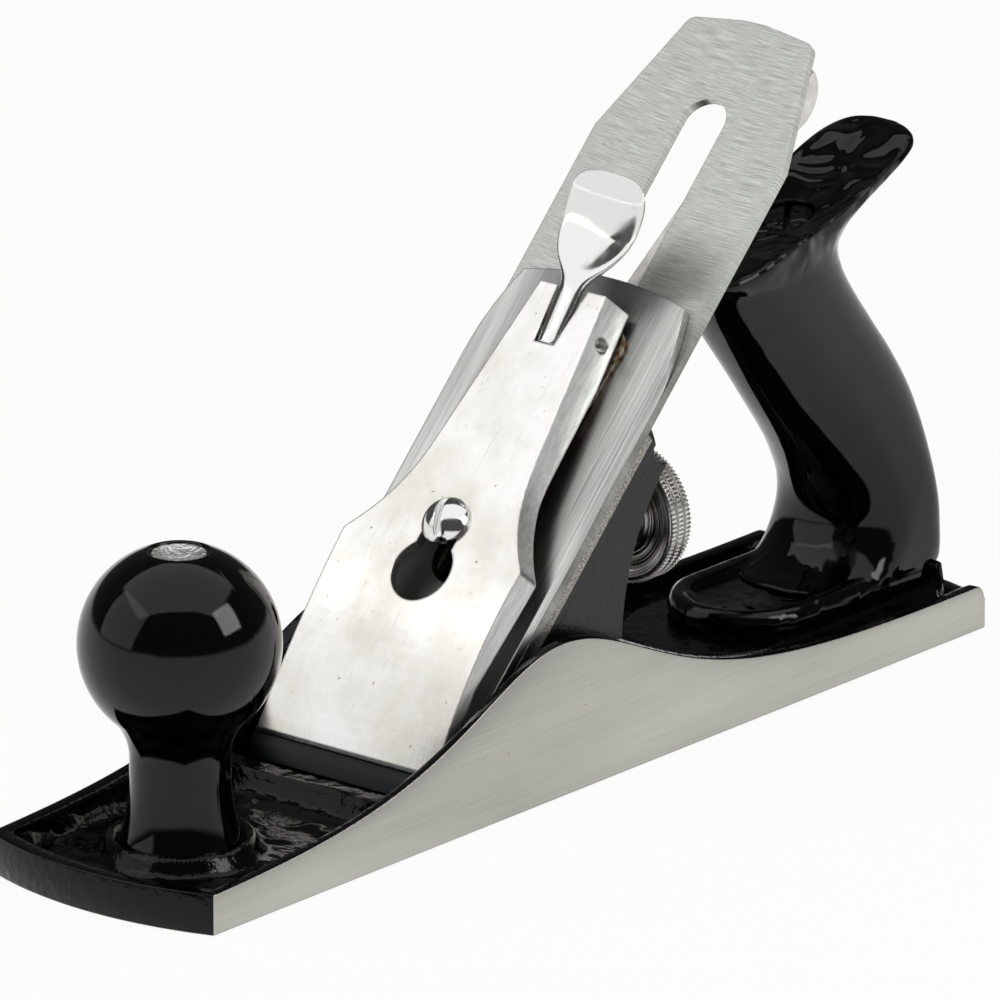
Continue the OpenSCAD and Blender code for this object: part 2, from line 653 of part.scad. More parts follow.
// Half width of the lever cap along the slope: straight, then a hollow curve, then the shoulders
neck_r = 42;
neck_s = 79;
neck_half = 13.4;
neck_slope = atan2(neck_half - lever_top_w / 2, lever_top - neck_s);
neck_cx = neck_s + neck_r * sin(neck_slope);
neck_cy = neck_half + neck_r * cos(neck_slope);
function lever_half(s) = s >= neck_s ? neck_half - (s - neck_s) * tan(neck_slope)
    : neck_cy - sqrt(pow(neck_r, 2) - pow(s - neck_cx, 2));
lever_side = [for (i = [0 : 9]) let (s = lever_shoulder + (neck_s - lever_shoulder) * i / 9) [s, lever_half(s)]];

// Outline of the lever cap, inset by d, with y drawn at the given share of its size
module lever_outline(d, share) {
    half = concat(
        [[lever_bottom + d, lever_w / 2 - d - 1.8], [lever_shoulder - 1, lever_w / 2 - d]],
        [for (p = lever_side) [p[0], p[1] - d]],
        [[lever_top - d, lever_top_w / 2 - d]]);
    last = len(half) - 1;
    polygon(concat(
        [for (p = half) [p[0], -p[1] * share]],
        [for (i = [0 : last]) [half[last - i][0], half[last - i][1] * share]]));
}

lever_under = cap_iron_face + 1.3;
lever_drop = 6.5;
function lever_face(s) = s >= 55 ? lever_n
    : lever_n - lever_drop * pow((55 - s) / (55 - lever_bottom), 2);
side_lean = 18;
// The nose bears on the cap iron; behind it the side walls stand clear and deepen again towards the pin
wall_under = lever_n - 4.7;
module lever_side_view() {
    steps = 18;
    polygon(concat(
        [[lever_bottom, lever_under], [lever_bottom, lever_face(lever_bottom) - 0.7]],
        [for (i = [0 : steps]) let (s = lever_bottom + 0.5 + (55 - lever_bottom - 0.5) * i / steps) [s, lever_face(s)]],
        [[lever_top, lever_n], [lever_top, lever_under + 0.6], [cam_s - 9, lever_under + 0.6], [cam_s - 38, wall_under],
        [lever_bottom + 20, wall_under], [lever_bottom + 6, lever_under]]));
}
module lever_hollow_view() {
    steps = 10;
    from = lever_bottom + 10;
    polygon(concat(
        [[from, 0]],
        [for (i = [0 : steps]) let (s = from + (55 - from) * i / steps) [s, lever_face(s) - lever_roof]],
        [[cam_s - 7.4, lever_n - lever_roof], [cam_s - 7.4, 0]]));
}

cam_slot_w = cam_w + 1;
module lever_cap() color(chrome) on_bed() difference() {
    intersection() {
        across(lever_w + 20) lever_side_view();
        // Both lean away from the centre, so the sides spread towards the cap iron
        union() for (side = [-1, 1])
            translate([0, 0, lever_n]) rotate([side * side_lean, 0, 0]) translate([0, 0, -20])
                linear_extrude(40) lever_outline(0, cos(side_lean));
    }
    intersection() {
        across(lever_w + 20) lever_hollow_view();
        linear_extrude(40) lever_outline(1.8, 1);
    }
    // Keyhole
    translate([0, 0, -over]) linear_extrude(30) union() {
        translate([lcs_s - lever_travel, 0]) circle(d = lever_hole_d, $fn = 64);
        slot_2d(lever_slot_w, lcs_s - lever_travel, lcs_s);
    }
    // Slot of the cam lever, wider towards the top, and the hole of its pin
    translate([0, 0, -over]) linear_extrude(30) polygon([
        [cam_s - 4, -cam_slot_w / 2], [lever_top + over, -4.2], [lever_top + over, 4.2],
        [cam_s - 4, cam_slot_w / 2]]);
    translate([cam_s, 20, cam_n]) rotate([90, 0, 0]) cylinder(h = 40, d = cam_pin_d + 2 * run_gap, $fn = 48);
}

module cam_pin() color(steel) on_bed() translate([cam_s, lever_top_w / 2 + 0.6, cam_n]) rotate([90, 0, 0])
    cylinder(h = lever_top_w + 1.2, d = cam_pin_d, $fn = 48);

// Neck that widens out of the slot, and a thin dished paddle that curls up
paddle_s = 134.5;
paddle_n = 14.2;
paddle_len = 22;
module cam_lever() color(chrome) on_bed() difference() {
    union() {
        across(cam_w) translate([cam_s, cam_n]) circle(r = cam_r, $fn = 64);
        hull() {
            across(cam_w) translate([cam_s + 1, cam_n + 1.6]) circle(r = 1.8, $fn = 32);
            across(cam_w + 0.6) translate([lever_top - 0.4, lever_n - 1.3]) circle(r = 1.6, $fn = 32);
        }
        hull() {
            across(cam_w + 0.6) translate([lever_top - 0.4, lever_n - 1.3]) circle(r = 1.6, $fn = 32);
            across(paddle_w * 0.5) translate([paddle_s - 9, paddle_n - 0.9]) circle(r = 1.2, $fn = 32);
        }
        hull() {
            across(paddle_w * 0.5) translate([paddle_s - 9, paddle_n - 0.9]) circle(r = 1.2, $fn = 32);
            across(paddle_w * 0.86) translate([paddle_s - 4, paddle_n - 0.4]) circle(r = 0.8, $fn = 32);
        }
        paddle();
    }
    translate([cam_s, 20, cam_n]) rotate([90, 0, 0]) cylinder(h = 40, d = cam_pin_d + 2 * run_gap, $fn = 48);
}

// Thumb paddle: a shell between two spheres, cut to a rounded oblong
paddle_r = 26;
module paddle() {
    corner = paddle_w * 0.36;
    intersection() {
        translate([paddle_s - 1, 0, paddle_n + paddle_r]) rotate([90, 0, 0]) difference() {
            sphere(r = paddle_r + 0.8, $fn = 96);
            sphere(r = paddle_r - 0.8, $fn = 96);
        }
        translate([paddle_s, 0, 0]) linear_extrude(paddle_n + 9) union() {
            square([paddle_len - 2 * corner, paddle_w], center = true);
            square([paddle_len, paddle_w - 2 * corner], center = true);
            for (u = [-1, 1], v = [-1, 1])
                translate([u * (paddle_len / 2 - corner), v * (paddle_w / 2 - corner)]) circle(r = corner, $fn = 64);
        }
    }
}

// Leaf spring: riveted under the roof, bent down and flat on the cap iron under the cam
spring_rivet_s = 80;
spring_start = spring_rivet_s - 6;
spring_bend_s = spring_rivet_s + 4;
spring_wall_s = spring_rivet_s + 13;
spring_foot_s = cam_s - 8.9;
spring_end = cam_s + 7;
spring_corner = 5;
spring_low = cap_iron_face + slide_gap;
spring_high = lever_n - lever_roof - slide_gap - spring_t;
module lever_cap_spring() color("#8C867C") on_bed() translate([spring_rivet_s, 0, 0])
    rotate([0, 0, -spring_lean]) translate([-spring_rivet_s, 0, 0]) difference() {
    intersection() {
        across(spring_w + over) polygon([
            [spring_start, spring_high], [spring_bend_s, spring_high],
            [spring_wall_s, spring_low + 1.2], [spring_foot_s, spring_low],
            [spring_end - 2.5, spring_low], [spring_end + 1.5, spring_low + 0.5],
            [spring_end + 1.5, spring_low + 0.5 + spring_t], [spring_end - 2.7, spring_low + spring_t],
            [spring_foot_s, spring_low + spring_t], [spring_wall_s + 0.2, spring_low + 1.2 + spring_t],
            [spring_bend_s + 0.3, spring_high + spring_t],
            [spring_start, spring_high + spring_t]]);
        // Narrow where it is riveted, wide where it bears, with rounded corners at its end
        linear_extrude(30) union() {
            translate([spring_start, -spring_w * 0.3]) square([spring_wall_s + 1 - spring_start, spring_w * 0.6]);
            polygon([[spring_wall_s - 3, -spring_w * 0.3], [spring_wall_s + 1, -spring_w / 2],
                [spring_wall_s + 1, spring_w / 2], [spring_wall_s - 3, spring_w * 0.3]]);
            translate([spring_wall_s + 0.5, -spring_w / 2])
                square([spring_end - spring_corner - spring_wall_s - 0.5, spring_w]);
            translate([spring_end - 9, spring_corner - spring_w / 2]) square([9, spring_w - 2 * spring_corner]);
            for (side = [-1, 1]) translate([spring_end - spring_corner, side * (spring_w / 2 - spring_corner)])
                circle(r = spring_corner, $fn = 48);
        }
    }
    translate([spring_rivet_s, 0, 0]) cylinder(h = 30, d = 3 + 2 * slide_gap, $fn = 32);
}

module spring_rivet() color(steel) on_bed() translate([spring_rivet_s, 0, 0]) union() {
    translate([0, 0, spring_high - 0.4]) cylinder(h = lever_n - lever_roof + 0.3 - spring_high, d = 3, $fn = 32);
    translate([0, 0, spring_high - slide_gap - 1.2]) cylinder(h = 1.2, d = 5.4, $fn = 48);
}

// Side view of the cutter with its ground bevel on the bed side
bevel_len = blade_t / tan(bevel_angle);
// Rounded corner and shallow arch of the cutter's top end
blade_corner = 2.5;
blade_end = concat(
    [for (a = [15 : 15 : 75]) [blade_top - 1.6 - edge_s - blade_corner * (1 - sin(a)),
        blade_top_w / 2 + 0.4 - blade_corner * (1 - cos(a))]],
    [[blade_top - edge_s - 0.7, blade_top_w / 4], [blade_top - edge_s, blade_top_w / 12]]);
module blade() color(steel) on_bed() difference() {
    intersection() {
        across(blade_w) polygon([
            [edge_s, blade_face], [blade_top, blade_face], [blade_top, blade_n], [edge_s + bevel_len, blade_n]]);
        linear_extrude(10) difference() {
            translate([edge_s, 0]) polygon([
                [0, -blade_w / 2], [taper_start - edge_s, -blade_w / 2],
                for (p = blade_end) [p[0], -p[1]],
                for (i = [1 : len(blade_end)]) blade_end[len(blade_end) - i],
                [taper_start - edge_s, blade_w / 2], [0, blade_w / 2]]);
            slot_2d(slot_w, 30, slot_top - slot_w / 2);
            translate([31, 0]) circle(d = keyhole_d, $fn = 64);
        }
    }
}

// Side view of the cap iron: flat, a low hump, then a curve down to its front edge
hump_s = 9;
hump_start = 21;
function hump(s) = s > hump_s ? hump_h * (1 + cos(180 * (s - hump_s) / (hump_start - hump_s))) / 2
    : hump_h * (1 - pow((hump_s - s) / (hump_s - cap_iron_edge), 2));
module cap_iron_view() {
    steps = 8;
    top = [for (i = [0 : steps]) let (s = cap_iron_edge + 1 + (hump_s - cap_iron_edge - 1) * i / steps)
        [s, cap_iron_face + hump(s) - (cap_iron_t - 0.6) * pow((hump_s - s) / (hump_s - cap_iron_edge), 2)]];
    back = [for (i = [1 : steps]) let (s = hump_s + (hump_start - hump_s) * i / steps) [s, cap_iron_face + hump(s)]];
    under = [for (i = [0 : steps]) let (s = hump_start - (hump_start - hump_s) * i / steps) [s, cap_iron_n + hump(s)]];
    polygon(concat([[cap_iron_edge, cap_iron_n]], top, back,
        [[cap_iron_top, cap_iron_face], [cap_iron_top, cap_iron_n]], under,
        [[cap_iron_edge + 3.5, cap_iron_n + hump_h * 0.6]]));
}

module cap_iron() color(steel) on_bed() difference() {
    intersection() {
        across(blade_w) cap_iron_view();
        linear_extrude(20) union() {
            top_r = 90;
            corner_len = 24;
            curve = [for (i = [0 : 8]) [cap_iron_top - corner_len * (1 - i / 8),
                blade_w / 2 - (blade_w - cap_iron_top_w) / 2 * pow(i / 8, 2)]];
            intersection() {
                polygon(concat(
                    [[0, -blade_w / 2]], [for (p = curve) [p[0], -p[1]]],
                    [for (i = [0 : 8]) curve[8 - i]], [[0, blade_w / 2]]));
                union() {
                    translate([cap_iron_top - top_r, 0]) circle(r = top_r, $fn = 180);
                    translate([0, -blade_w / 2]) square([cap_iron_top - corner_len - 4, blade_w]);
                }
            }
        }
    }
    translate([cap_screw_s, 0, -over]) cylinder(h = 20, d = lcs_d + 2 * slide_gap, $fn = 48);
    translate([0, 0, -over]) linear_extrude(20) slot_2d(12.5, lcs_s - 3.4, lcs_s + 3.4);
    translate([fork_s - 2.4, -4.8, -over]) cube([4.8, 9.6, 20]);
}

module cap_iron_screw() color(steel) on_bed() translate([cap_screw_s, 0, 0]) difference() {
    union() {
        translate([0, 0, -slide_gap]) cylinder(h = cap_iron_face + slide_gap - 0.2, d = lcs_d, $fn = 48);
        translate([0, 0, -3.2]) cylinder(h = 3.2, d = 15.4, $fn = 64);
    }
    translate([0, 0, -3.2]) mirror([0, 0, 1]) screw_slot(9, 1.6, 1.6);
}

// Knob: a ball on a waisted neck, joined by a hollow curve
module knob_view() {
    ball_r = knob_d / 2;
    neck = knob_neck_d / 2;
    fillet = 12;
    fillet_r = neck + fillet;
    fillet_z = knob_ball_z - sqrt(pow(ball_r + fillet, 2) - pow(fillet_r, 2));
    join_angle = atan2(fillet_z - knob_ball_z, fillet_r);
    flat_angle = asin((knob_top_z - 0.6 - knob_ball_z) / ball_r);
    flare = knob_foot_d / 2 - neck;
    flare_h = fillet_z - knob_seat_z - 4;
    polygon(concat(
        [[0, knob_seat_z], [knob_foot_d / 2, knob_seat_z]],
        [for (i = [0 : 8]) let (t = i / 8) [neck + flare * pow(1 - t, 2), knob_seat_z + 1 + flare_h * t]],
        arc(fillet_r, fillet_z, fillet, 180, 180 + join_angle, 8),
        arc(0, knob_ball_z, ball_r, join_angle, flat_angle, 28),
        [[ball_r * cos(flat_angle) - 0.9, knob_top_z], [0, knob_top_z]]));
}

nut_recess = 3.4;
module knob() color(enamel) translate([knob_x, 0, 0]) difference() {
    rotate_extrude($fn = 128) knob_view();
    translate([0, 0, -over]) cylinder(h = 100, d = bolt_d + 2 * pass_gap, $fn = 48);
    translate([0, 0, knob_top_z - nut_recess]) cylinder(h = 10, d = bolt_nut_d + 2 * pass_gap, $fn = 64);
}

module knob_stud() color(steel) translate([knob_x, 0, stud_floor + 0.3])
    cylinder(h = knob_top_z - nut_recess - stud_floor - 0.5, d = bolt_d, $fn = 48);

// Round slotted nut, flush with its recess or just under it
module round_nut() {
    difference() {
        rotate_extrude($fn = 64) polygon([
            [0, 0], [bolt_nut_d / 2, 0], [bolt_nut_d / 2, nut_recess - 0.5], [bolt_nut_d / 2 - 0.6, nut_recess + 0.1],
            [0, nut_recess + 0.4]]);
        translate([0, 0, nut_recess + 0.4]) rotate([0, 0, 35]) screw_slot(8, 1.5, 1.4);
    }
}

module knob_nut() color(chrome) translate([knob_x, 0, knob_top_z - nut_recess + slide_gap]) round_nut();

// Level sections of the rear handle: height, front, back, half thickness as a share of the grip, corner
tote_sections = [
    [13, 99, 127, 1.34, 3.6], [16, 101, 127.3, 1.32, 3.6], [20, 103, 127.6, 1.28, 3.4], [25, 103.4, 127.8, 1.2, 3.2],
    [30, 102, 127.9, 1.12, 3], [36, 98.6, 127.6, 1.05, 2.8], [43, 93.6, 126.6, 1.01, 2.7], [51, 87.6, 124, 1, 2.6],
    [60, 80.4, 118.8, 1, 2.6], [68, 74, 113, 1, 2.6], [76, 68, 107.4, 1, 2.6], [82, 64, 104.6, 1, 2.7],
    [86, 61.8, 104.3, 1, 2.8], [88.5, 61.4, 105.6, 0.98, 2.9], [91, 71, 108, 0.96, 3], [94, 79, 113, 0.94, 3],
    [97, 87, 117.6, 0.92, 3], [100, 96, 122, 0.9, 3], [102.5, 106, 125, 0.87, 2.8], [105, 113, 126.6, 0.8, 2.6],
    [107.3, 117.5, 126.4, 0.62, 2.4]];

// Rounded oblong ring at one height: its corner number sets how square it is
ring_points = 32;
function ring(section) = [for (i = [0 : ring_points - 1]) let (
    a = 360 * (i + 0.5) / ring_points,
    c = cos(a),
    s = sin(a),
    reach = (section[2] - section[1]) / 2,
    power = 2 / section[4])
    [(section[1] + section[2]) / 2 + reach * sign(c) * pow(abs(c), power),
     grip_t / 2 * section[3] * sign(s) * pow(abs(s), power), section[0]]];

module loft(sections) {
    rings = [for (s = sections) ring(s)];
    count = len(sections);
    n = ring_points;
    polyhedron(
        points = [for (r = rings) each r],
        faces = concat(
            [[for (i = [0 : n - 1]) i]],
            [for (k = [0 : count - 2], i = [0 : n - 1]) let (j = (i + 1) % n)
                [k * n + i, (k + 1) * n + i, (k + 1) * n + j]],
            [for (k = [0 : count - 2], i = [0 : n - 1]) let (j = (i + 1) % n)
                [k * n + i, (k + 1) * n + j, k * n + j]],
            [[for (i = [0 : n - 1]) count * n - 1 - i]]));
}

foot_top = 13.4;
tote_top_z = 93;
tote_back_x = 127;
module tote_foot() {
    foot_bottom = pad_h + slide_gap;
    half = foot_w / 2;
    // The foot tapers upward in two steps
    translate([0, 0, foot_bottom]) linear_extrude(2.6) union() {
        translate([foot_tip_x + half, 0]) circle(r = half, $fn = 96);
        translate([foot_tip_x + half, -half]) square([tote_back_x - foot_tip_x - 2 * half + 8, foot_w]);
        translate([tote_back_x - half + 1, 0]) circle(r = half - 1, $fn = 96);
    }
    translate([0, 0, foot_bottom + 2]) linear_extrude(foot_top - foot_bottom - 2) union() {
        translate([foot_tip_x + half + 0.6, 0]) circle(r = half - 1.2, $fn = 96);
        translate([foot_tip_x + half + 0.6, -half + 1.2]) square([tote_back_x - foot_tip_x - 2 * half, foot_w - 2.4]);
        translate([tote_back_x - half + 1, 0]) circle(r = half - 1.2, $fn = 96);
    }
}

module along_bolt() {
    translate([tote_bolt_x, 0, pad_h]) rotate([0, -tote_lean, 0]) children();
}
tote_nut_l = (tote_top_z - pad_h) / cos(tote_lean);

module tote() color(enamel) difference() {
    union() {
        loft(tote_sections);
        tote_foot();
    }
    // Scooped pocket on top of the foot
    translate([0, 0, foot_top - 2.4]) linear_extrude(10) slot_2d(foot_w - 11, foot_tip_x + 15.5, foot_tip_x + 24);
    along_bolt() translate([0, 0, -20]) cylinder(h = 140, d = bolt_d + 2 * pass_gap, $fn = 48);
    along_bolt() translate([0, 0, tote_nut_l - nut_recess]) cylinder(h = 20, d = bolt_nut_d + 2 * pass_gap, $fn = 64);
}

module tote_stud() color(steel) along_bolt() translate([0, 0, stud_floor - pad_h + 0.8])
    cylinder(h = tote_nut_l - nut_recess + pad_h - stud_floor - 1, d = bolt_d, $fn = 48);

module tote_nut() color(chrome) along_bolt() translate([0, 0, tote_nut_l - nut_recess + slide_gap]) round_nut();

plane_body();
frog();
frog_screws();
frog_washers();
frog_adjusting_screw();
frog_clip();
frog_clip_screw();
depth_lever();
depth_lever_pin();
nut_stud();
depth_nut_hub();
depth_nut();
lateral_lever();
lateral_pivot();
lateral_disc();
lever_cap_screw();
lever_cap();
cam_lever();
cam_pin();
lever_cap_spring();
spring_rivet();
blade();
cap_iron();
cap_iron_screw();
knob();
knob_stud();
knob_nut();
tote();
tote_stud();
tote_nut();
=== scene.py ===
import math

import bmesh
import bpy
import numpy as np
from mathutils import Matrix, Quaternion, Vector
from mathutils.geometry import tessellate_polygon


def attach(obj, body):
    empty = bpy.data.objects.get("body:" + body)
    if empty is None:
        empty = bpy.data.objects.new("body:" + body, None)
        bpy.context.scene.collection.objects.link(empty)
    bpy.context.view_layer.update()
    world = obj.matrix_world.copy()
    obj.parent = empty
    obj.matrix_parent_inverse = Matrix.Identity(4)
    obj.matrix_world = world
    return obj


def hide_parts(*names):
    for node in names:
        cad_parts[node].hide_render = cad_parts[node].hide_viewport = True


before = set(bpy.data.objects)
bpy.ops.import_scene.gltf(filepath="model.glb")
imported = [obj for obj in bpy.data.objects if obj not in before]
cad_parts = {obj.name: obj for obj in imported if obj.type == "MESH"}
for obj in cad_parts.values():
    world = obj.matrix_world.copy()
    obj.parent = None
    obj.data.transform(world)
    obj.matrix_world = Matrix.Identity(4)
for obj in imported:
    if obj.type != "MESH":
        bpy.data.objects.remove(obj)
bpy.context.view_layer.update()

# Body casting: grey iron, cast in one piece with its cheeks. The soft cast inside is dipped in gloss
# black enamel, then the sole and the outer faces of the cheeks are ground bare along their length.
# Lengths are millimetres: x runs from the toe to the heel, y across, z up from the sole.
sole_len, sole_w, sole_t, end_bulge = 261.0, 60.0, 4.5, 5.5
cheek_t, lip_t, draft = 3.2, 4.0, 0.2
mouth_x, mouth_half, mouth_bevel = -51.5, 26.6, 8
mouth_front, mouth_back = mouth_x - 5, mouth_x + 3.2
knob_x = -100.6
sole_half = sole_w / 2
corner_x = sole_len / 2 - end_bulge
end_r = (sole_half ** 2 + end_bulge ** 2) / (2 * end_bulge)
end_centre = sole_len / 2 - end_r

# The rim of the cheek: a bell beside the cutter, wider to the heel than to the toe
rim_low, bell_h, bell_x, bell_toe, bell_heel = 8, 25.4, -15, 27, 28.7
heel_rise, heel_round, heel_low = 1.6, 2.5, 7.0
round_x, low_x = corner_x - 2.9, corner_x - 0.4


def linear(colour):
    """sRGB hex to the linear RGBA that a socket takes; a socket is passed on."""
    if not isinstance(colour, str):
        return colour
    parts = [int(colour[i:i + 2], 16) / 255 for i in (1, 3, 5)]
    return [c / 12.92 if c <= 0.04045 else ((c + 0.055) / 1.055) ** 2.4 for c in parts] + [1]


def add(tree, kind, inputs=None, out=0, **settings):
    """Adds a node and returns one output; an input given as a socket is linked, any other is set."""
    made = tree.nodes.new(kind if "Node" in kind else "ShaderNode" + kind)
    for key, value in settings.items():
        setattr(made, key, value)
    for key, value in (inputs or {}).items():
        if isinstance(value, bpy.types.NodeSocket):
            tree.links.new(value, made.inputs[key])
        else:
            made.inputs[key].default_value = value
    return made.outputs[out] if len(made.outputs) else None


def material(name):
    """New material without nodes, and its node tree."""
    made = bpy.data.materials.new(name)
    made.use_nodes = True
    made.node_tree.nodes.clear()
    return made, made.node_tree


def coordinates(tree, stretch=(1, 1, 1), lean=0):
    """Object coordinates in millimetres, so that noise of scale 0.5 has lumps about 2 mm wide.

    With a lean, x runs up the cutter's bed and z stands off it. A stretch under 1 draws lines out
    along that direction.
    """
    turn = math.radians(lean)
    place = add(tree, "TexCoord", out="Object")
    moved = add(tree, "Mapping", {"Vector": place, "Scale": (1000, 1000, 1000), "Rotation": (0, turn, 0),
                                  "Location": (-mouth_x * math.cos(turn) if lean else 0, 0,
                                               mouth_x * math.sin(turn))})
    return add(tree, "VectorMath", {0: moved, 1: stretch}, operation="MULTIPLY")


def blend(tree, pattern, low, high, dark, light):
    """Colour that runs from one tone to the other as the pattern goes from low to high."""
    share = add(tree, "MapRange", {"Value": pattern, "From Min": low, "From Max": high})
    return add(tree, "Mix", {0: share, 6: linear(dark), 7: linear(light)}, out=2, data_type="RGBA")


def solid(name, points, faces, finish, angle=40):
    """Object from points in millimetres, merged, with its normals outward and sharp edges kept."""
    mesh = bpy.data.meshes.new(name)
    mesh.from_pydata([tuple(0.001 * c for c in p) for p in points], [], faces)
    work = bmesh.new()
    work.from_mesh(mesh)
    bmesh.ops.remove_doubles(work, verts=work.verts, dist=2e-6)
    bmesh.ops.recalc_face_normals(work, faces=work.faces)
    work.to_mesh(mesh)
    work.free()
    mesh.materials.append(finish)
    mesh.shade_smooth()
    mesh.set_sharp_from_angle(angle=math.radians(angle))
    made = bpy.data.objects.new(name, mesh)
    bpy.context.scene.collection.objects.link(made)
    return made


def skin(rings, caps=True):
    """Faces between rings of equal length, whose points are numbered one ring after another."""
    n, last = len(rings[0]), len(rings) - 1
    faces = [(k * n + i, k * n + (i + 1) % n, (k + 1) * n + (i + 1) % n, (k + 1) * n + i)
             for k in range(last) for i in range(n)]
    if caps:
        faces += [tuple(range(n)), tuple(range(last * n, last * n + n))]
    return faces


def rim_z(x):
    """Height of the cheek's rim, with its rounded drop at the heel."""
    z = rim_low + bell_h / math.cosh((x - bell_x) / (bell_toe if x < bell_x else bell_heel))
    if x > bell_x:
        z += heel_rise * ((x - bell_x) / (corner_x - bell_x)) ** 2
    if x > round_x:
        drop = min(1.0, (x - round_x) / heel_round)
        z = max(heel_low, z - heel_round + heel_round * math.sqrt(1 - drop * drop))
    return heel_low if x > low_x else z


def plan_ring(dx, dy, end_points=33, side_points=190):
    """Outline seen from above: straight sides and bowed ends, moved in by dx and dy."""
    half = sole_half - dy
    ends = [(end_centre + math.sqrt((end_r - dx) ** 2 - y * y), y)
            for y in np.linspace(-half, half, end_points)]
    reach = ends[0][0]
    stations = list(np.linspace(-reach, round_x, side_points))
    stations += [round_x + heel_round * math.sin(a) for a in np.linspace(0.2, 1.5, 7)]
    side = [min(x, reach - 0.01) for x in stations[1:]]
    return ([(-x, y) for x, y in ends] + [(x, half) for x in side]
            + [(x, y) for x, y in reversed(ends)] + [(x, -half) for x in reversed(side)])


# Section through the wall: inset from the outline, 1 where it is measured from the rim, and height
wall = [(1.0, 0, 0.0), (0.25, 0, 0.08), (0, 0, 0.4), (0, 1, -0.28), (0.1, 1, -0.1), (0.4, 1, 0),
        (cheek_t - 1, 1, 0), (cheek_t - 0.35, 1, -0.25), (cheek_t, 1, -0.9),
        (cheek_t + draft, 0, sole_t - 1)]
rims = [rim_z(x) for x, y in plan_ring(0, 0)]
rings = []
for inset, on_rim, dz in wall:
    along = inset + (lip_t - cheek_t) * (inset > cheek_t / 2)
    rings.append([(x, y, on_rim * r + dz) for (x, y), r in zip(plan_ring(along, inset), rims)])
points = [p for ring in rings for p in ring]
faces = skin(rings, caps=False)

# The floor inside is a height field: each cast form rises from it with its own soft fillet.
# Its cells follow the bowed ends, and its edge is tucked under the wall.
floor_reach, cell, bend_x, tuck, mouth_step = 126.5, 0.65, 112, 0.3, 0.1
columns = np.unique(np.round(np.concatenate([
    np.arange(-floor_reach, floor_reach + 0.1, cell),
    [mouth_front, mouth_front + mouth_step, mouth_back, mouth_back + mouth_step]]), 3))
rows = np.linspace(-1, 1, 91) * (sole_half - cheek_t + tuck)
gx, gy = np.meshgrid(columns, rows, indexing="ij")
reach = end_centre + np.sqrt((end_r - lip_t - draft) ** 2 - gy ** 2) + tuck
bent = bend_x + (np.abs(gx) - bend_x) * (reach - bend_x) / (floor_reach - bend_x)
gx = np.where(np.abs(gx) > bend_x, np.sign(gx) * bent, gx)


def rise(depth, width):
    """0 outside a form and 1 inside it, over a fillet of that width centred on its outline."""
    t = np.clip(depth / width + 0.5, 0, 1)
    return t * t * (3 - 2 * t)


# Lumps left by the sand mould: waves of several widths that run all ways, twice as high at the toe
lump_widths, lump_share, full_turn = (3.2, 4.2, 6.0, 7.5, 9.0, 12.0, 17.0), 0.0042, 6.2832
toe_x, toe_fade, toe_extra = -60, 20, 1.1
rng = np.random.RandomState(11)
lumps = np.zeros_like(gx)
for wave in lump_widths:
    for _ in range(4):
        a, phase = rng.uniform(0, math.pi), rng.uniform(0, 6.28)
        lumps += wave * lump_share * np.sin((gx * math.cos(a) + gy * math.sin(a)) * full_turn / wave + phase)
lumps *= 1 + toe_extra * rise(toe_x - gx, toe_fade)

wall_fillet, wall_fillet_h = 3.2, 2.4
near_wall = np.minimum(sole_half - cheek_t - np.abs(gy), reach - np.abs(gx))
height = sole_t + wall_fillet_h * np.clip(1 - near_wall / wall_fillet, 0, 1) ** 2 + lumps

# Knob's boss with a bead round its edge, rib before the mouth, handle's pad, lip behind the handle,
# and the frog's two machined seats
boss_z, boss_r, bead_r, bead_w, bead_h = 6.4, 16.7, 14.6, 1.6, 2.3
rib_x, rib_half, rib_z = mouth_x - 8.25, 3.25, 9
pad_x, pad_half, pad_z = 50, 19.5, 8.5
heel_lip_x, heel_lip_half, heel_lip_z, heel_lip_bow = 119.6, 19.5, 12.5, 130
seat_half, toe_seat_end, toe_seat_z = 23.5, -30, 8.0
heel_seat_start, heel_seat_end, heel_seat_z = -27, 9.5, 16.0
from_knob = np.hypot(gx - knob_x, gy)
boss_top = boss_z + bead_h * np.exp(-((from_knob - bead_r) / bead_w) ** 2) + 0.3 * lumps
pad_out = np.where(gx < pad_x + pad_half, np.hypot(gx - pad_x - pad_half, gy), np.abs(gy)) - pad_half
lip_out = np.maximum(np.abs(gy) - heel_lip_half, heel_lip_x + gy ** 2 / heel_lip_bow - gx)
in_seat = seat_half - np.abs(gy)
forms = [(boss_top, boss_r - from_knob, 2.8),
         (rib_z + 0.5 * lumps, rib_half - np.abs(gx - rib_x), 2.0),
         (pad_z + 0.15 * lumps, -pad_out, 1.6),
         (heel_lip_z + 0.3 * lumps, -lip_out, 2.0),
         (toe_seat_z, np.minimum(np.minimum(gx - mouth_x, toe_seat_end - gx), in_seat), 0.5),
         (heel_seat_z, np.minimum(np.minimum(gx - heel_seat_start, heel_seat_end - gx), in_seat), 0.8)]
for top, depth, width in forms:
    height = np.maximum(height, sole_t + (top - sole_t) * rise(depth, width))

# Behind the mouth the floor falls at 45 degrees, and the cells over the mouth are left out
margin = 0.001
over_mouth = np.abs(gy) < mouth_half
in_mouth = (gx > mouth_front - margin) & (gx < mouth_back + margin) & over_mouth
behind_mouth = (gx > mouth_back) & (gx < mouth_back + mouth_bevel) & over_mouth
height = np.where(behind_mouth, np.minimum(height, gx - mouth_back), height)
base = len(points)
points += list(zip(gx.ravel(), gy.ravel(), height.ravel()))
grid = np.arange(gx.size).reshape(gx.shape) + base
for i, j in zip(*np.nonzero(~(in_mouth[:-1, :-1] & in_mouth[1:, 1:]))):
    faces.append((grid[i, j], grid[i + 1, j], grid[i + 1, j + 1], grid[i, j + 1]))

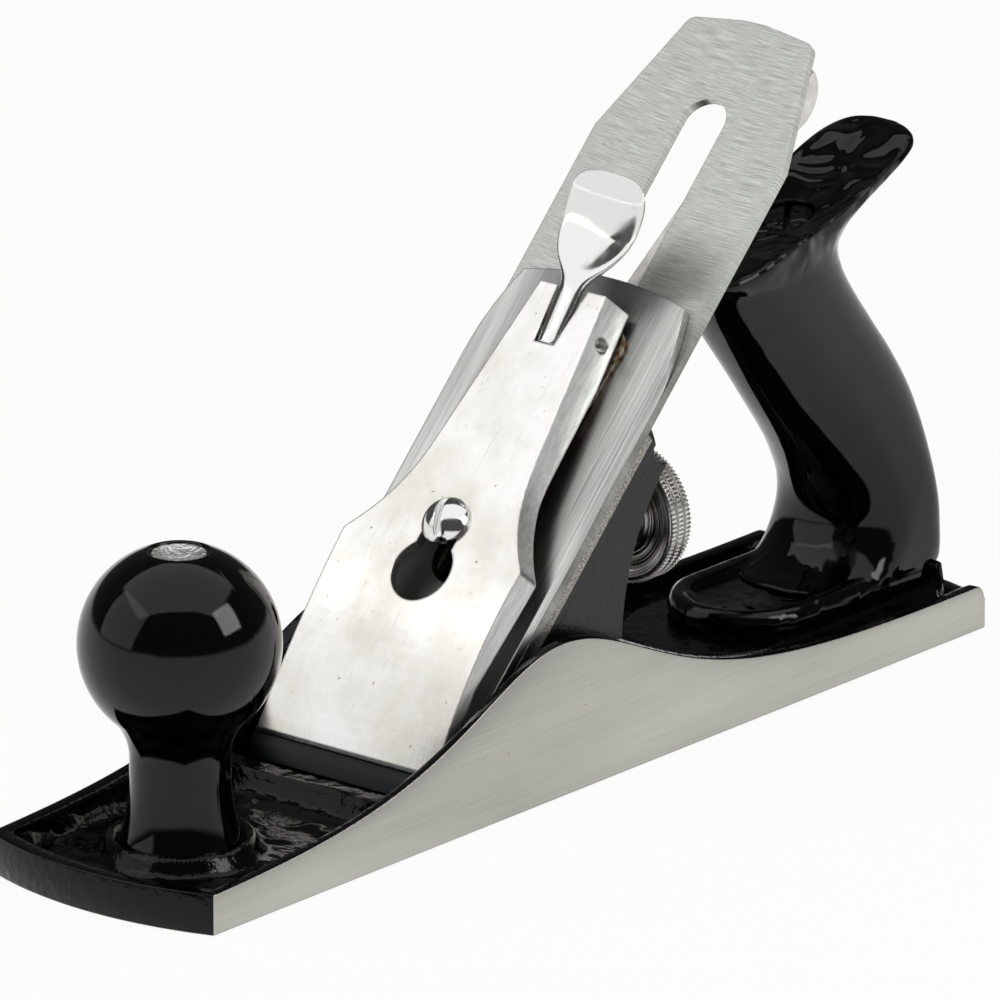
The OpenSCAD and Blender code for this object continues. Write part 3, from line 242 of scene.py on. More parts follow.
# Walls of the mouth, as high as the rib in front and sharp behind, and the sole's face round it
sharp_edge = 0.05
mouth = [(mouth_front, -mouth_half), (mouth_back, -mouth_half),
         (mouth_back, mouth_half), (mouth_front, mouth_half)]
base = len(points)
points += [(x, y, 0) for x, y in mouth] + [(x, y, rib_z if x < mouth_x else sharp_edge) for x, y in mouth]
faces += [(base + i, base + (i + 1) % 4, base + 4 + (i + 1) % 4, base + 4 + i) for i in range(4)]
number = list(range(len(rims))) + list(range(base, base + 4))
loops = points[:len(rims)], points[base:base + 4]
for corner in tessellate_polygon([[Vector(p) for p in loop] for loop in loops]):
    faces.append(tuple(number[i] for i in corner))

# Gloss enamel on sand-cast iron looks wet: almost black, with sharp reflections that wander over the
# lumps. The ground iron is pale grey, with long fine lines, faint patches and a few specks of rust.
bare_side, bare_sole = sole_half - 0.07, 0.2
enamelled_iron, tree = material("enamelled_and_ground_iron")
place = coordinates(tree)
apart = add(tree, "SeparateXYZ", {0: place}).node.outputs
side = add(tree, "Math", {0: apart[1]}, operation="ABSOLUTE")
on_side = add(tree, "Math", {0: side, 1: bare_side}, operation="GREATER_THAN")
on_sole = add(tree, "Math", {0: apart[2], 1: bare_sole}, operation="LESS_THAN")
bare = add(tree, "Math", {0: on_side, 1: on_sole}, operation="MAXIMUM")
# Grinding lines 50 mm long and 0.6 mm wide, coarser than the real 0.1 mm so that they show
grind = add(tree, "TexNoise", {"Vector": coordinates(tree, (0.02, 1.6, 1.6)), "Scale": 1.0, "Detail": 5.0,
                               "Roughness": 0.65})
patches = add(tree, "TexNoise", {"Vector": coordinates(tree, (0.012, 0.05, 0.05)), "Scale": 1.0,
                                 "Detail": 3.0})
shade = add(tree, "Math", {0: grind, 1: 0.6, 2: patches}, operation="MULTIPLY_ADD")
specks = add(tree, "TexNoise", {"Vector": place, "Scale": 0.9, "Detail": 2.0})
clean = blend(tree, shade, 0.5, 1.1, "#ACABA4", "#CAC9C2")
specked = blend(tree, specks, 0.735, 0.76, clean, "#8A7256")
cast = add(tree, "TexNoise", {"Vector": place, "Scale": 0.45, "Detail": 3.0, "Roughness": 0.5})
orange_peel = add(tree, "Bump", {"Height": cast, "Strength": 0.5, "Distance": 0.0004})
scratch = add(tree, "Bump", {"Height": grind, "Strength": 0.12, "Distance": 0.0001})
enamel = add(tree, "BsdfPrincipled", {"Base Color": linear("#050506"), "Roughness": 0.1,
                                      "Specular IOR Level": 0.22, "Normal": orange_peel})
ground = add(tree, "BsdfPrincipled", {"Base Color": specked, "Metallic": 1.0, "Roughness": 0.42,
                                      "Anisotropic": 0.5, "Normal": scratch})
add(tree, "OutputMaterial", {"Surface": add(tree, "MixShader", {0: bare, 1: enamel, 2: ground})})
body = solid("body_casting", points, faces, enamelled_iron, 50)
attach(body, "body")
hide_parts("plane_body")

# Frog: an iron casting enamelled black, with a machined bed whose outer strips stay bare; its two
# clamping screws, their washers, the clip and the adjusting screw are bright steel.
bed, strip_y, strip_n = 45, 23.2, -4.2


def rounded(tree, radius):
    """Normal that rounds hard edges in the shading, in metres."""
    return add(tree, "Bevel", {"Radius": radius}, samples=4)


# The frog's enamel is thinner and duller than the body's, over a fine sand grain; the milled strips
# beside the cutter are light grey and pitted.
frog_finish, tree = material("frog_enamel_and_machined_edge")
place = coordinates(tree, lean=bed)
apart = add(tree, "SeparateXYZ", {0: place}).node.outputs
side = add(tree, "Math", {0: apart[1]}, operation="ABSOLUTE")
wide = add(tree, "Math", {0: side, 1: strip_y}, operation="GREATER_THAN")
high = add(tree, "Math", {0: apart[2], 1: strip_n}, operation="GREATER_THAN")
bare = add(tree, "Math", {0: wide, 1: high}, operation="MULTIPLY")
grain = add(tree, "TexNoise", {"Vector": place, "Scale": 1.4, "Detail": 3.0})
pits = add(tree, "TexNoise", {"Vector": place, "Scale": 2.6, "Detail": 2.0})
bump = add(tree, "Bump", {"Height": grain, "Strength": 0.35, "Distance": 0.00025,
                          "Normal": rounded(tree, 0.0006)})
coat = add(tree, "BsdfPrincipled", {"Base Color": linear("#070708"), "Roughness": 0.3,
                                    "Specular IOR Level": 0.35, "Normal": bump})
milled = add(tree, "BsdfPrincipled", {"Base Color": blend(tree, pits, 0.42, 0.58, "#6C6B66", "#B4B3AD"),
                                      "Metallic": 0.9, "Roughness": 0.45, "Normal": bump})
add(tree, "OutputMaterial", {"Surface": add(tree, "MixShader", {0: bare, 1: coat, 2: milled})})

# Turned steel: a warm light grey whose gloss comes and goes a little as it was handled
bright_steel, tree = material("bright_turned_steel")
turning = add(tree, "TexNoise", {"Vector": coordinates(tree), "Scale": 0.8, "Detail": 4.0})
rough = add(tree, "MapRange", {"Value": turning, "To Min": 0.2, "To Max": 0.36})
metal = add(tree, "BsdfPrincipled", {"Base Color": linear("#C4C3BF"), "Metallic": 1.0, "Roughness": rough,
                                     "Normal": rounded(tree, 0.0003)})
add(tree, "OutputMaterial", {"Surface": metal})


def dress(finish, *names):
    """Gives CAD nodes their finish."""
    for name in names:
        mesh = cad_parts[name].data
        mesh.materials.clear()
        mesh.materials.append(finish)


dress(frog_finish, "frog")
dress(bright_steel, "frog_screws", "frog_washers", "frog_adjusting_screw", "frog_clip", "frog_clip_screw")

# Forked depth lever: a black iron casting that rocks on a steel pin in the frog, its two prongs in the
# groove of the depth nut's hub and its upper tip in the cap iron.
dress(frog_finish, "depth_lever")
dress(bright_steel, "depth_lever_pin", "nut_stud")

# Depth nut: a wheel turned from brass and nickel plated, with dished faces and three knurled bands,
# running on the threaded stud behind the frog.
nut_x, nut_z, nut_t, nut_r, spigot_r = 38.8, 41.0, 6.0, 14.6, 4.6
band_gap, groove_d, groove_slope = 0.9, 0.5, 0.15
tooth_h, tooth_sink, tooth_short, tooth_count = 0.4, 0.12, 0.25, 96
band = (nut_t - 2 * band_gap) / 3


def turned(profile, place, count=96):
    """Points and faces of a turned piece; place takes the two sides of its circle and its height."""
    angles = np.arange(count) * 2 * math.pi / count
    rings = [[place(r * math.cos(a), r * math.sin(a), h) for a in angles] for r, h in profile]
    return [p for ring in rings for p in ring], skin(rings, caps=False)


# Nickel plate over a turned face: turning rings whose light and dark tone is painted reflection, and an
# evenly pale rim
ring_end, rim_start = 13.2, 13.9
nut_plate, tree = material("turned_nickel_plate")
apart = add(tree, "SeparateXYZ", {0: coordinates(tree)}).node.outputs
across = add(tree, "Math", {0: apart[2], 1: nut_z}, operation="SUBTRACT")
flat = add(tree, "CombineXYZ", {0: apart[1], 1: across})
radius = add(tree, "VectorMath", {0: flat}, out="Value", operation="LENGTH")
lathe_marks_and_reflection = add(tree, "TexNoise", {"W": radius, "Scale": 1.6, "Detail": 4.0}, noise_dimensions="1D")
# Painted reflection: the colour runs from dark to light across the turning rings, which also give the real
# bump
face_tone = blend(tree, lathe_marks_and_reflection, 0.38, 0.62, "#5A5956", "#CFCECA")
tone = blend(tree, radius, ring_end, rim_start, face_tone, "#D9D8D4")
bump = add(tree, "Bump", {"Height": lathe_marks_and_reflection, "Strength": 0.9, "Distance": 0.0004,
                          "Normal": rounded(tree, 0.00015)})
metal = add(tree, "BsdfPrincipled", {"Base Color": tone, "Metallic": 1.0, "Roughness": 0.24, "Normal": bump})
add(tree, "OutputMaterial", {"Surface": metal})
dress(nut_plate, "depth_nut_hub")

# One face's profile from the spigot to the rim, as radius and depth; the other face mirrors it
front = [(spigot_r, 0), (7.3, 0), (7.6, 0.25), (8.4, 0.85), (9.6, 0.95), (10.2, 0.7), (10.8, 0.95),
         (12.0, 0.8), (12.7, 0.1), (13.0, 0), (nut_r - 0.7, 0), (nut_r - 0.2, 0.25), (nut_r, 0.5)]
grooves = []
for edge in (band, 2 * band + band_gap):
    grooves += [(nut_r, edge), (nut_r - groove_d, edge + groove_slope),
                (nut_r - groove_d, edge + band_gap - groove_slope), (nut_r, edge + band_gap)]
back = [(r, nut_t - h) for r, h in reversed(front)]
points, faces = turned(front + grooves + back + [front[0]], lambda u, v, h: (nut_x + h, u, nut_z + v), 128)
wheel = solid("depth_nut_wheel", points, faces, nut_plate, 30)
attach(wheel, "nut_wheel")
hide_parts("depth_nut")

# The knurl's teeth are straight ridges round each band
knurl = bpy.data.node_groups.new("knurled_bands", "GeometryNodeTree")
knurl.interface.new_socket("Geometry", in_out="OUTPUT", socket_type="NodeSocketGeometry")
sizes = {"Teeth": tooth_count, "Bands": 3, "Radius": 0.001 * (nut_r - tooth_sink),
         "Pitch": 0.001 * (band + band_gap), "Tooth height": 0.001 * tooth_h,
         "Tooth length": 0.001 * (band - tooth_short), "Finish": nut_plate}
keys = {}
for label, value in sizes.items():
    kind = "NodeSocket" + {int: "Int", float: "Float"}.get(type(value), "Material")
    keys[label] = knurl.interface.new_socket(label, in_out="INPUT", socket_type=kind).identifier
given = knurl.nodes.new("NodeGroupInput").outputs
circle = add(knurl, "GeometryNodeMeshCircle", {"Vertices": given["Teeth"], "Radius": given["Radius"]})
tooth = add(knurl, "GeometryNodeMeshCylinder", {"Vertices": 4, "Radius": given["Tooth height"],
                                                "Depth": given["Tooth length"]})
outward = add(knurl, "FunctionNodeAlignRotationToVector",
              {"Vector": add(knurl, "GeometryNodeInputPosition")}, axis="X")
ring = add(knurl, "GeometryNodeInstanceOnPoints", {"Points": circle, "Instance": tooth,
                                                   "Rotation": outward})
step = add(knurl, "CombineXYZ", {2: given["Pitch"]})
line = add(knurl, "GeometryNodeMeshLine", {"Count": given["Bands"], "Offset": step})
rows = add(knurl, "GeometryNodeInstanceOnPoints", {"Points": line, "Instance": ring})
whole = add(knurl, "GeometryNodeRealizeInstances", {0: rows})
dressed = add(knurl, "GeometryNodeSetMaterial", {0: whole, "Material": given["Finish"]})
add(knurl, "NodeGroupOutput", {0: dressed})
teeth = bpy.data.objects.new("depth_nut_knurl", bpy.data.meshes.new("depth_nut_knurl"))
bpy.context.scene.collection.objects.link(teeth)
made_by = teeth.modifiers.new("knurl", "NODES")
made_by.node_group = knurl
for label, value in sizes.items():
    made_by[keys[label]] = value


def settle(piece):
    """Turns what a piece's modifiers make into its plain mesh."""
    mesh = bpy.data.meshes.new_from_object(piece.evaluated_get(bpy.context.evaluated_depsgraph_get()))
    piece.modifiers.clear()
    piece.data = mesh
    return mesh


first_band = Vector((nut_x + band / 2, 0, nut_z)) / 1000
settle(teeth).transform(Matrix.Translation(first_band) @ Matrix.Rotation(math.pi / 2, 4, "Y"))
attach(teeth, "nut_wheel")

# Lateral lever: a strip stamped from sheet steel and zinc plated, riveted to the frog, with a round disc
# that works in the cutter's slot and a half-round thumb tab folded down at its upper end.
# Zinc gives a milky pale grey with soft clouds and a finely pitted, half dull surface.
zinc_plate, tree = material("zinc_plated_steel")
spangle = add(tree, "TexNoise", {"Vector": coordinates(tree), "Scale": 0.5, "Detail": 4.0})
stamped = add(tree, "TexNoise", {"Vector": coordinates(tree), "Scale": 2.5, "Detail": 1.0})
pitted = add(tree, "Bump", {"Height": stamped, "Strength": 0.3, "Distance": 0.0001,
                            "Normal": rounded(tree, 0.0004)})
metal = add(tree, "BsdfPrincipled", {"Base Color": blend(tree, spangle, 0.3, 0.7, "#C6C5C0", "#E2E1DD"),
                                     "Metallic": 1.0, "Roughness": 0.36, "Normal": pitted})
add(tree, "OutputMaterial", {"Surface": metal})
dress(zinc_plate, "lateral_lever", "lateral_pivot", "lateral_disc")

# Cutter: a flat plate of hardened tool steel with a long slot, surface ground across its width in
# shallow arcs and left bright. The eye sees curved streaks, light and dark, a smudge of old oil beside
# the slot and a few brown specks.
arc_centre, arc_bend, streak_len = -20.0, -0.0015, 0.03
smudge_low, smudge_high, smudge_start, smudge_full = 121.0, 150.0, -5.0, -9.0
blade_steel, tree = material("ground_cutter_steel")
place = coordinates(tree, lean=bed)
apart = add(tree, "SeparateXYZ", {0: place}).node.outputs
from_centre = add(tree, "Math", {0: apart[1], 1: -arc_centre}, operation="ADD")
square = add(tree, "Math", {0: from_centre, 1: 2.0}, operation="POWER")
arc = add(tree, "Math", {0: square, 1: arc_bend, 2: apart[0]}, operation="MULTIPLY_ADD")
along = add(tree, "Math", {0: apart[1], 1: streak_len}, operation="MULTIPLY")
sweep = add(tree, "CombineXYZ", {0: arc, 1: along})
# Streaks 0.24 mm wide, coarser than the real wheel's grit so that they show
fine = add(tree, "TexNoise", {"Vector": sweep, "Scale": 4.2, "Detail": 5.0, "Roughness": 0.8})
broad = add(tree, "TexNoise", {"Vector": place, "Scale": 0.06, "Detail": 2.0})
tone = blend(tree, fine, 0.36, 0.62, "#989994", "#E4E5E0")
faded = add(tree, "Math", {0: broad, 1: 0.4}, operation="MULTIPLY")
tone = add(tree, "Mix", {0: faded, 6: tone, 7: linear("#BFC0BB")}, out=2, data_type="RGBA")
low = add(tree, "MapRange", {"Value": apart[0], "From Min": smudge_low, "From Max": smudge_high,
                             "To Min": 1.0, "To Max": 0.0})
near = add(tree, "MapRange", {"Value": apart[1], "From Min": smudge_start, "From Max": smudge_full})
smudge = add(tree, "Math", {0: low, 1: near}, operation="MULTIPLY")
smudge = add(tree, "Math", {0: smudge, 1: broad}, operation="MULTIPLY")
tone = blend(tree, smudge, 0.1, 0.75, tone, "#55564F")
specks = add(tree, "TexNoise", {"Vector": place, "Scale": 0.7, "Detail": 4.0})
tone = blend(tree, specks, 0.75, 0.79, tone, "#7A5A3C")
bump = add(tree, "Bump", {"Height": fine, "Strength": 0.25, "Distance": 0.0001,
                          "Normal": rounded(tree, 0.00025)})
metal = add(tree, "BsdfPrincipled", {"Base Color": tone, "Metallic": 1.0, "Roughness": 0.36, "Normal": bump})
add(tree, "OutputMaterial", {"Surface": metal})
dress(blade_steel, "blade")

# Cap iron: a spring steel plate, brushed along its length and polished at the hump by the edge, held to the
# cutter by a slotted screw. Long soft light and dark bands along it are painted sheen; the hump is painted
# near black as a painted reflection of the dark casting, and the middle is painted darker as shade beside
# the lever cap.
shaded_middle_half, edge_y, hump_start, hump_end = 8.0, 21.0, 10.5, 11.5
brushed_steel, tree = material("brushed_spring_steel")
place = coordinates(tree, lean=bed)
apart = add(tree, "SeparateXYZ", {0: place}).node.outputs
brush = add(tree, "TexNoise", {"Vector": coordinates(tree, (0.03, 2.2, 2.2), bed), "Scale": 1.0,
                               "Detail": 4.0, "Roughness": 0.7})
# Painted sheen: long soft light and dark bands stretched along the plate, mixed with the real brushing lines
painted_sheen_bands = add(tree, "TexNoise", {"Vector": coordinates(tree, (0.02, 0.14, 0.14), bed), "Scale": 1.0,
                               "Detail": 1.0})
sheen_and_brushing = add(tree, "Math", {0: painted_sheen_bands, 1: 0.8, 2: brush}, operation="MULTIPLY_ADD")
tone = blend(tree, sheen_and_brushing, 0.65, 1.1, "#8D8E8B", "#D8D8D5")
side = add(tree, "Math", {0: apart[1]}, operation="ABSOLUTE")
# Painted shade: darker towards the middle, as shade and dark reflection beside the lever cap
tone = blend(tree, side, shaded_middle_half, edge_y, "#70716E", tone)
# Painted reflection: the hump by the edge is painted near black
tone = blend(tree, apart[0], hump_start, hump_end, "#2A2B2C", tone)
bump = add(tree, "Bump", {"Height": brush, "Strength": 0.3, "Distance": 0.0001,
                          "Normal": rounded(tree, 0.0004)})
metal = add(tree, "BsdfPrincipled", {"Base Color": tone, "Metallic": 1.0, "Roughness": 0.3,
                                     "Anisotropic": 0.5, "Normal": bump})
add(tree, "OutputMaterial", {"Surface": metal})
dress(brushed_steel, "cap_iron")
dress(bright_steel, "cap_iron_screw")

# Lever cap screw: a slotted steel screw with a polished chromed dome, threaded into the frog.
# Chrome mirrors the room sharply, with the odd hazy patch where fingers have worn it.
chrome, tree = material("polished_chrome_plate")
wear = add(tree, "TexNoise", {"Vector": coordinates(tree), "Scale": 0.35, "Detail": 4.0})
rough = add(tree, "MapRange", {"Value": wear, "From Min": 0.35, "From Max": 0.8,
                               "To Min": 0.05, "To Max": 0.2})
metal = add(tree, "BsdfPrincipled", {"Base Color": linear("#E4E4E3"), "Metallic": 1.0, "Roughness": rough,
                                     "Normal": rounded(tree, 0.0004)})
add(tree, "OutputMaterial", {"Surface": metal})
dress(chrome, "lever_cap_screw")

# Lever cap: malleable iron cast hollow underneath, ground, plated and polished on its face; the leaning
# sides keep a coarser brushed finish. The face is almost white, with yellowish clouds, fine scratches up
# its length and a few brown spots; the sides are greyer and streaked.
off_bed_direction = (-0.7071, 0, 0.7071)
plated_iron, tree = material("polished_and_brushed_plate")
place = coordinates(tree, lean=bed)
facing = add(tree, "VectorMath", {0: add(tree, "TexCoord", out="Normal"), 1: off_bed_direction},
             out="Value", operation="DOT_PRODUCT")
on_face = add(tree, "MapRange", {"Value": facing, "From Min": 0.93, "From Max": 0.97})
stain = add(tree, "TexNoise", {"Vector": place, "Scale": 0.05, "Detail": 5.0, "Roughness": 0.6})
scratches = add(tree, "TexNoise", {"Vector": coordinates(tree, (0.04, 1.4, 1.0), bed), "Scale": 1.0,
                                   "Detail": 5.0, "Roughness": 0.75})
spots = add(tree, "TexNoise", {"Vector": place, "Scale": 0.8, "Detail": 3.0})
face_tone = blend(tree, stain, 0.4, 0.72, "#F1F0EE", "#D8D5CA")
face_tone = blend(tree, scratches, 0.6, 0.75, face_tone, "#C9C8C4")
face_tone = blend(tree, spots, 0.71, 0.75, face_tone, "#A89878")
side_tone = blend(tree, scratches, 0.35, 0.65, "#BDBEBB", "#E4E4E1")
tone = add(tree, "Mix", {0: on_face, 6: side_tone, 7: face_tone}, out=2, data_type="RGBA")
polish = add(tree, "MapRange", {"Value": stain, "From Min": 0.3, "From Max": 0.8,
                                "To Min": 0.19, "To Max": 0.26})
rough = add(tree, "Mix", {0: on_face, 2: 0.34, 3: polish})
bump = add(tree, "Bump", {"Height": scratches, "Strength": 0.12, "Distance": 0.0001,
                          "Normal": rounded(tree, 0.0006)})
metal = add(tree, "BsdfPrincipled", {"Base Color": tone, "Metallic": 1.0, "Roughness": rough,
                                     "Normal": bump})
add(tree, "OutputMaterial", {"Surface": metal})
dress(plated_iron, "lever_cap", "cam_pin")

# Cam lever: forged steel, chromed. An eccentric on the pin presses on the spring; its flat tongue lies in
# the cap's slot and opens out into a thin dished paddle that curls up for the thumb.
cam_s, cam_n, cam_r, cam_bore_r, cam_half = 110.5, 9.6, 3.55, 1.75, 2.2
# Along the bed, centre off the bed, half width, half thickness, dish
paddle_stations = [
    (106.7, 12.5, 1.9, 0.9, 0), (107.2, 12.4, 2.3, 1.1, 0), (109, 12.4, 2.45, 1.25, 0),
    (112, 12.7, 2.6, 1.35, 0), (116, 13.2, 2.75, 1.4, 0), (119, 13.7, 2.85, 1.3, 0),
    (121, 14.0, 3.3, 1.15, 0.1), (123.3, 14.3, 4.8, 1.0, 0.4), (126, 14.5, 7.1, 0.9, 0.9),
    (129.5, 14.7, 9.0, 0.8, 1.3), (133, 15.0, 9.8, 0.75, 1.5), (136.5, 15.9, 10.1, 0.7, 1.6),
    (139.8, 17.3, 10.0, 0.65, 1.5), (142.3, 18.9, 9.0, 0.6, 1.2), (143.6, 19.9, 6.8, 0.55, 0.7),
    (144.1, 20.3, 4.0, 0.45, 0.3), (144.3, 20.45, 1.4, 0.3, 0.1)]
paddle_squareness, paddle_sides = 0.7, 40


def off_bed(s, y, n):
    """Point s up the bed and n off it."""
    return (mouth_x + (s - n) * math.sqrt(0.5), y, (s + n) * math.sqrt(0.5))


def through(rows, steps):
    """Smooth curve through rows of numbers, with that many steps from one row to the next."""
    rows = np.array(rows, float)
    rows = np.vstack([2 * rows[0] - rows[1], rows, 2 * rows[-1] - rows[-2]])
    curve = []
    for a, b, c, d in zip(rows, rows[1:], rows[2:], rows[3:]):
        for t in np.arange(steps) / steps:
            curve.append(0.5 * (2 * b + (c - a) * t + (2 * a - 5 * b + 4 * c - d) * t * t
                                + (3 * b - a - 3 * c + d) * t ** 3))
    return curve + [rows[-2]]


def power(value, exponent):
    """Power that keeps the sign, which squares a circle's corners when the exponent is under 1."""
    return math.copysign(abs(value) ** exponent, value)


rings = []
for s, n, half_w, half_t, dish in through(paddle_stations, 4):
    ring = []
    for a in np.arange(paddle_sides) * 2 * math.pi / paddle_sides:
        across, up = power(math.cos(a), paddle_squareness), power(math.sin(a), paddle_squareness)
        ring.append(off_bed(s, half_w * across, n + half_t * up - dish * (1 - across ** 2)))
    rings.append(ring)
points = [p for ring in rings for p in ring]
faces = skin(rings)
eccentric = [(cam_r, -cam_half), (cam_r, cam_half), (cam_bore_r, cam_half), (cam_bore_r, -cam_half),
             (cam_r, -cam_half)]
round_points, round_faces = turned(eccentric, lambda u, v, h: off_bed(cam_s + u, h, cam_n + v), 64)
faces += [tuple(i + len(points) for i in face) for face in round_faces]
cam_lever = solid("cam_lever_paddle", points + round_points, faces, chrome, 50)
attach(cam_lever, "cam")
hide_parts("cam_lever")

# Leaf spring under the lever cap: spring steel strip, bent to shape and riveted. Rust has browned it in
# patches a millimetre wide, with dull grey steel between them.
rusty_spring, tree = material("rusty_spring_steel")
rust = add(tree, "TexNoise", {"Vector": coordinates(tree), "Scale": 0.9, "Detail": 5.0})
metal = add(tree, "BsdfPrincipled", {"Base Color": blend(tree, rust, 0.42, 0.62, "#A39A8C", "#6A4A2C"),
                                     "Metallic": 0.85, "Roughness": 0.42, "Normal": rounded(tree, 0.0003)})
add(tree, "OutputMaterial", {"Surface": metal})
dress(rusty_spring, "lever_cap_spring")
dress(bright_steel, "spring_rivet")

# Knob: beech turned to a ball on a waisted neck, under thick gloss black lacquer that left a faint
# parting line, and held by a steel rod and a dished bright nut sunk in its top.
ball_z, ball_r, neck_r, foot_r, foot_z, foot_edge_z = 49.3, 20.9, 10.4, 13.0, 5.3, 7.0
neck_fillet, neck_z, top_r, recess_r, recess_d = 12.0, 20.5, 6.9, 6.0, 1.8
line_w, line_fade = 0.05, 0.3
horn_low, horn_high, foot_high, foot_low, foot_share, handle_x = 84.0, 92.0, 20.0, 13.0, 0.35, 50.0

# Thick lacquer is deep black and mirrors the soft boxes as clean shapes. It lies even on the knob and the
# grip, and it ran into ripples about 9 mm wide on the handle's horn and foot.
lacquer, tree = material("gloss_black_lacquer")
place = coordinates(tree)
apart = add(tree, "SeparateXYZ", {0: place}).node.outputs
ripple = add(tree, "TexNoise", {"Vector": place, "Scale": 0.1, "Detail": 1.0})
surface = add(tree, "Bump", {"Height": ripple, "Strength": 0.2, "Distance": 0.0008,
                             "Normal": rounded(tree, 0.0008)})
on_horn = add(tree, "MapRange", {"Value": apart[2], "From Min": horn_low, "From Max": horn_high})
on_foot = add(tree, "MapRange", {"Value": apart[2], "From Min": foot_high, "From Max": foot_low,
                                 "To Max": foot_share})
on_handle = add(tree, "Math", {0: apart[0], 1: handle_x}, operation="GREATER_THAN")
where = add(tree, "Math", {0: on_horn, 1: on_foot}, operation="MAXIMUM")
where = add(tree, "Math", {0: where, 1: on_handle}, operation="MULTIPLY")
runs = add(tree, "TexNoise", {"Vector": place, "Scale": 0.11, "Detail": 1.0, "Distortion": 0.8})
runs = add(tree, "Math", {0: runs, 1: where}, operation="MULTIPLY")
surface = add(tree, "Bump", {"Height": runs, "Strength": 1.0, "Distance": 0.0022, "Normal": surface})
off_line = add(tree, "Math", {0: apart[0], 1: knob_x}, operation="SUBTRACT")
off_line = add(tree, "Math", {0: off_line}, operation="ABSOLUTE")
line = add(tree, "MapRange", {"Value": off_line, "From Min": line_w, "From Max": line_fade,
                              "To Min": 1.0, "To Max": 0.0})
surface = add(tree, "Bump", {"Height": line, "Strength": 0.35, "Distance": 0.00004, "Normal": surface})
gloss = add(tree, "BsdfPrincipled", {"Base Color": linear("#040405"), "Roughness": 0.04,
                                     "Specular IOR Level": 0.3, "Normal": surface})
add(tree, "OutputMaterial", {"Surface": gloss})

# Profile from the foot up: spread foot, neck, the fillet that meets the ball, the ball, and the recess
fillet_r = neck_r + neck_fillet
fillet_z = ball_z - math.sqrt((ball_r + neck_fillet) ** 2 - fillet_r ** 2)
join = math.atan2(fillet_z - ball_z, fillet_r)
top = math.acos(top_r / ball_r)
lip_z = ball_z + ball_r * math.sin(top)
profile = [(0, foot_z), (foot_r, foot_z), (foot_r, foot_edge_z)]
profile += [(neck_r + (foot_r - neck_r) * (1 - t) ** 2, foot_edge_z + (neck_z - foot_edge_z) * t)
            for t in np.linspace(0.1, 1, 10)]
profile += [(fillet_r - neck_fillet * math.cos(a), fillet_z + neck_fillet * math.sin(a))
            for a in np.linspace(0, -join, 16)]
profile += [(ball_r * math.cos(a), ball_z + ball_r * math.sin(a)) for a in np.linspace(join, top, 56)[1:]]
profile += [(6.6, lip_z + 0.08), (6.25, lip_z), (recess_r, lip_z - 0.3), (recess_r, lip_z - recess_d),
            (0, lip_z - recess_d)]


def on_knob_axis(u, v, h):
    """Point of the knob at that height."""
    return (knob_x + u, v, h)


points, faces = turned(profile, on_knob_axis, 128)
knob = solid("knob_ball_and_neck", points, faces, lacquer, 50)
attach(knob, "body")
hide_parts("knob")

# The nut is a round plug with a dished face; use has dulled and dented it, so it shows bright smears
nut_rim_r, dish_r, dish_d, nut_below = 5.8, 5.1, 1.3, 0.25
nut_profile = [(0, lip_z - 2.6), (nut_rim_r, lip_z - 2.6), (nut_rim_r, lip_z - 0.7), (5.55, lip_z - 0.3),
               (dish_r, lip_z - nut_below)]
nut_profile += [(r, lip_z - nut_below - dish_d * (1 - (r / dish_r) ** 2)) for r in np.linspace(4.8, 0, 13)]
points, faces = turned(nut_profile, on_knob_axis, 64)
worn_steel, tree = material("worn_bright_nut_steel")
smears = add(tree, "TexNoise", {"Vector": coordinates(tree), "Scale": 0.5, "Detail": 3.0, "Distortion": 1.0})
uneven = add(tree, "Bump", {"Height": smears, "Strength": 1.0, "Distance": 0.0009})
metal = add(tree, "BsdfPrincipled", {"Base Color": linear("#F0F0EE"), "Metallic": 1.0, "Roughness": 0.4,
                                     "Normal": uneven})
add(tree, "OutputMaterial", {"Surface": metal})
knob_nut = solid("knob_dished_nut", points, faces, worn_steel, 40)
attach(knob_nut, "body")
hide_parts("knob_nut")
dress(bright_steel, "knob_stud")

# Rear handle: beech sawn and rounded to a grip with a scooped horn above and an oblong foot below, under
# the same lacquer; a leaning steel rod and a round nut sunk in the horn hold it to the casting.
foot_front, foot_back, foot_half, foot_corner, least_corner = 65.0, 127.5, 16.6, 6.0, 0.4
bolt_x, bolt_z, bolt_lean, nut_hole_r, nut_seat, past_horn = 112.0, 8.5, 11.7, 6.05, 82.9, 20
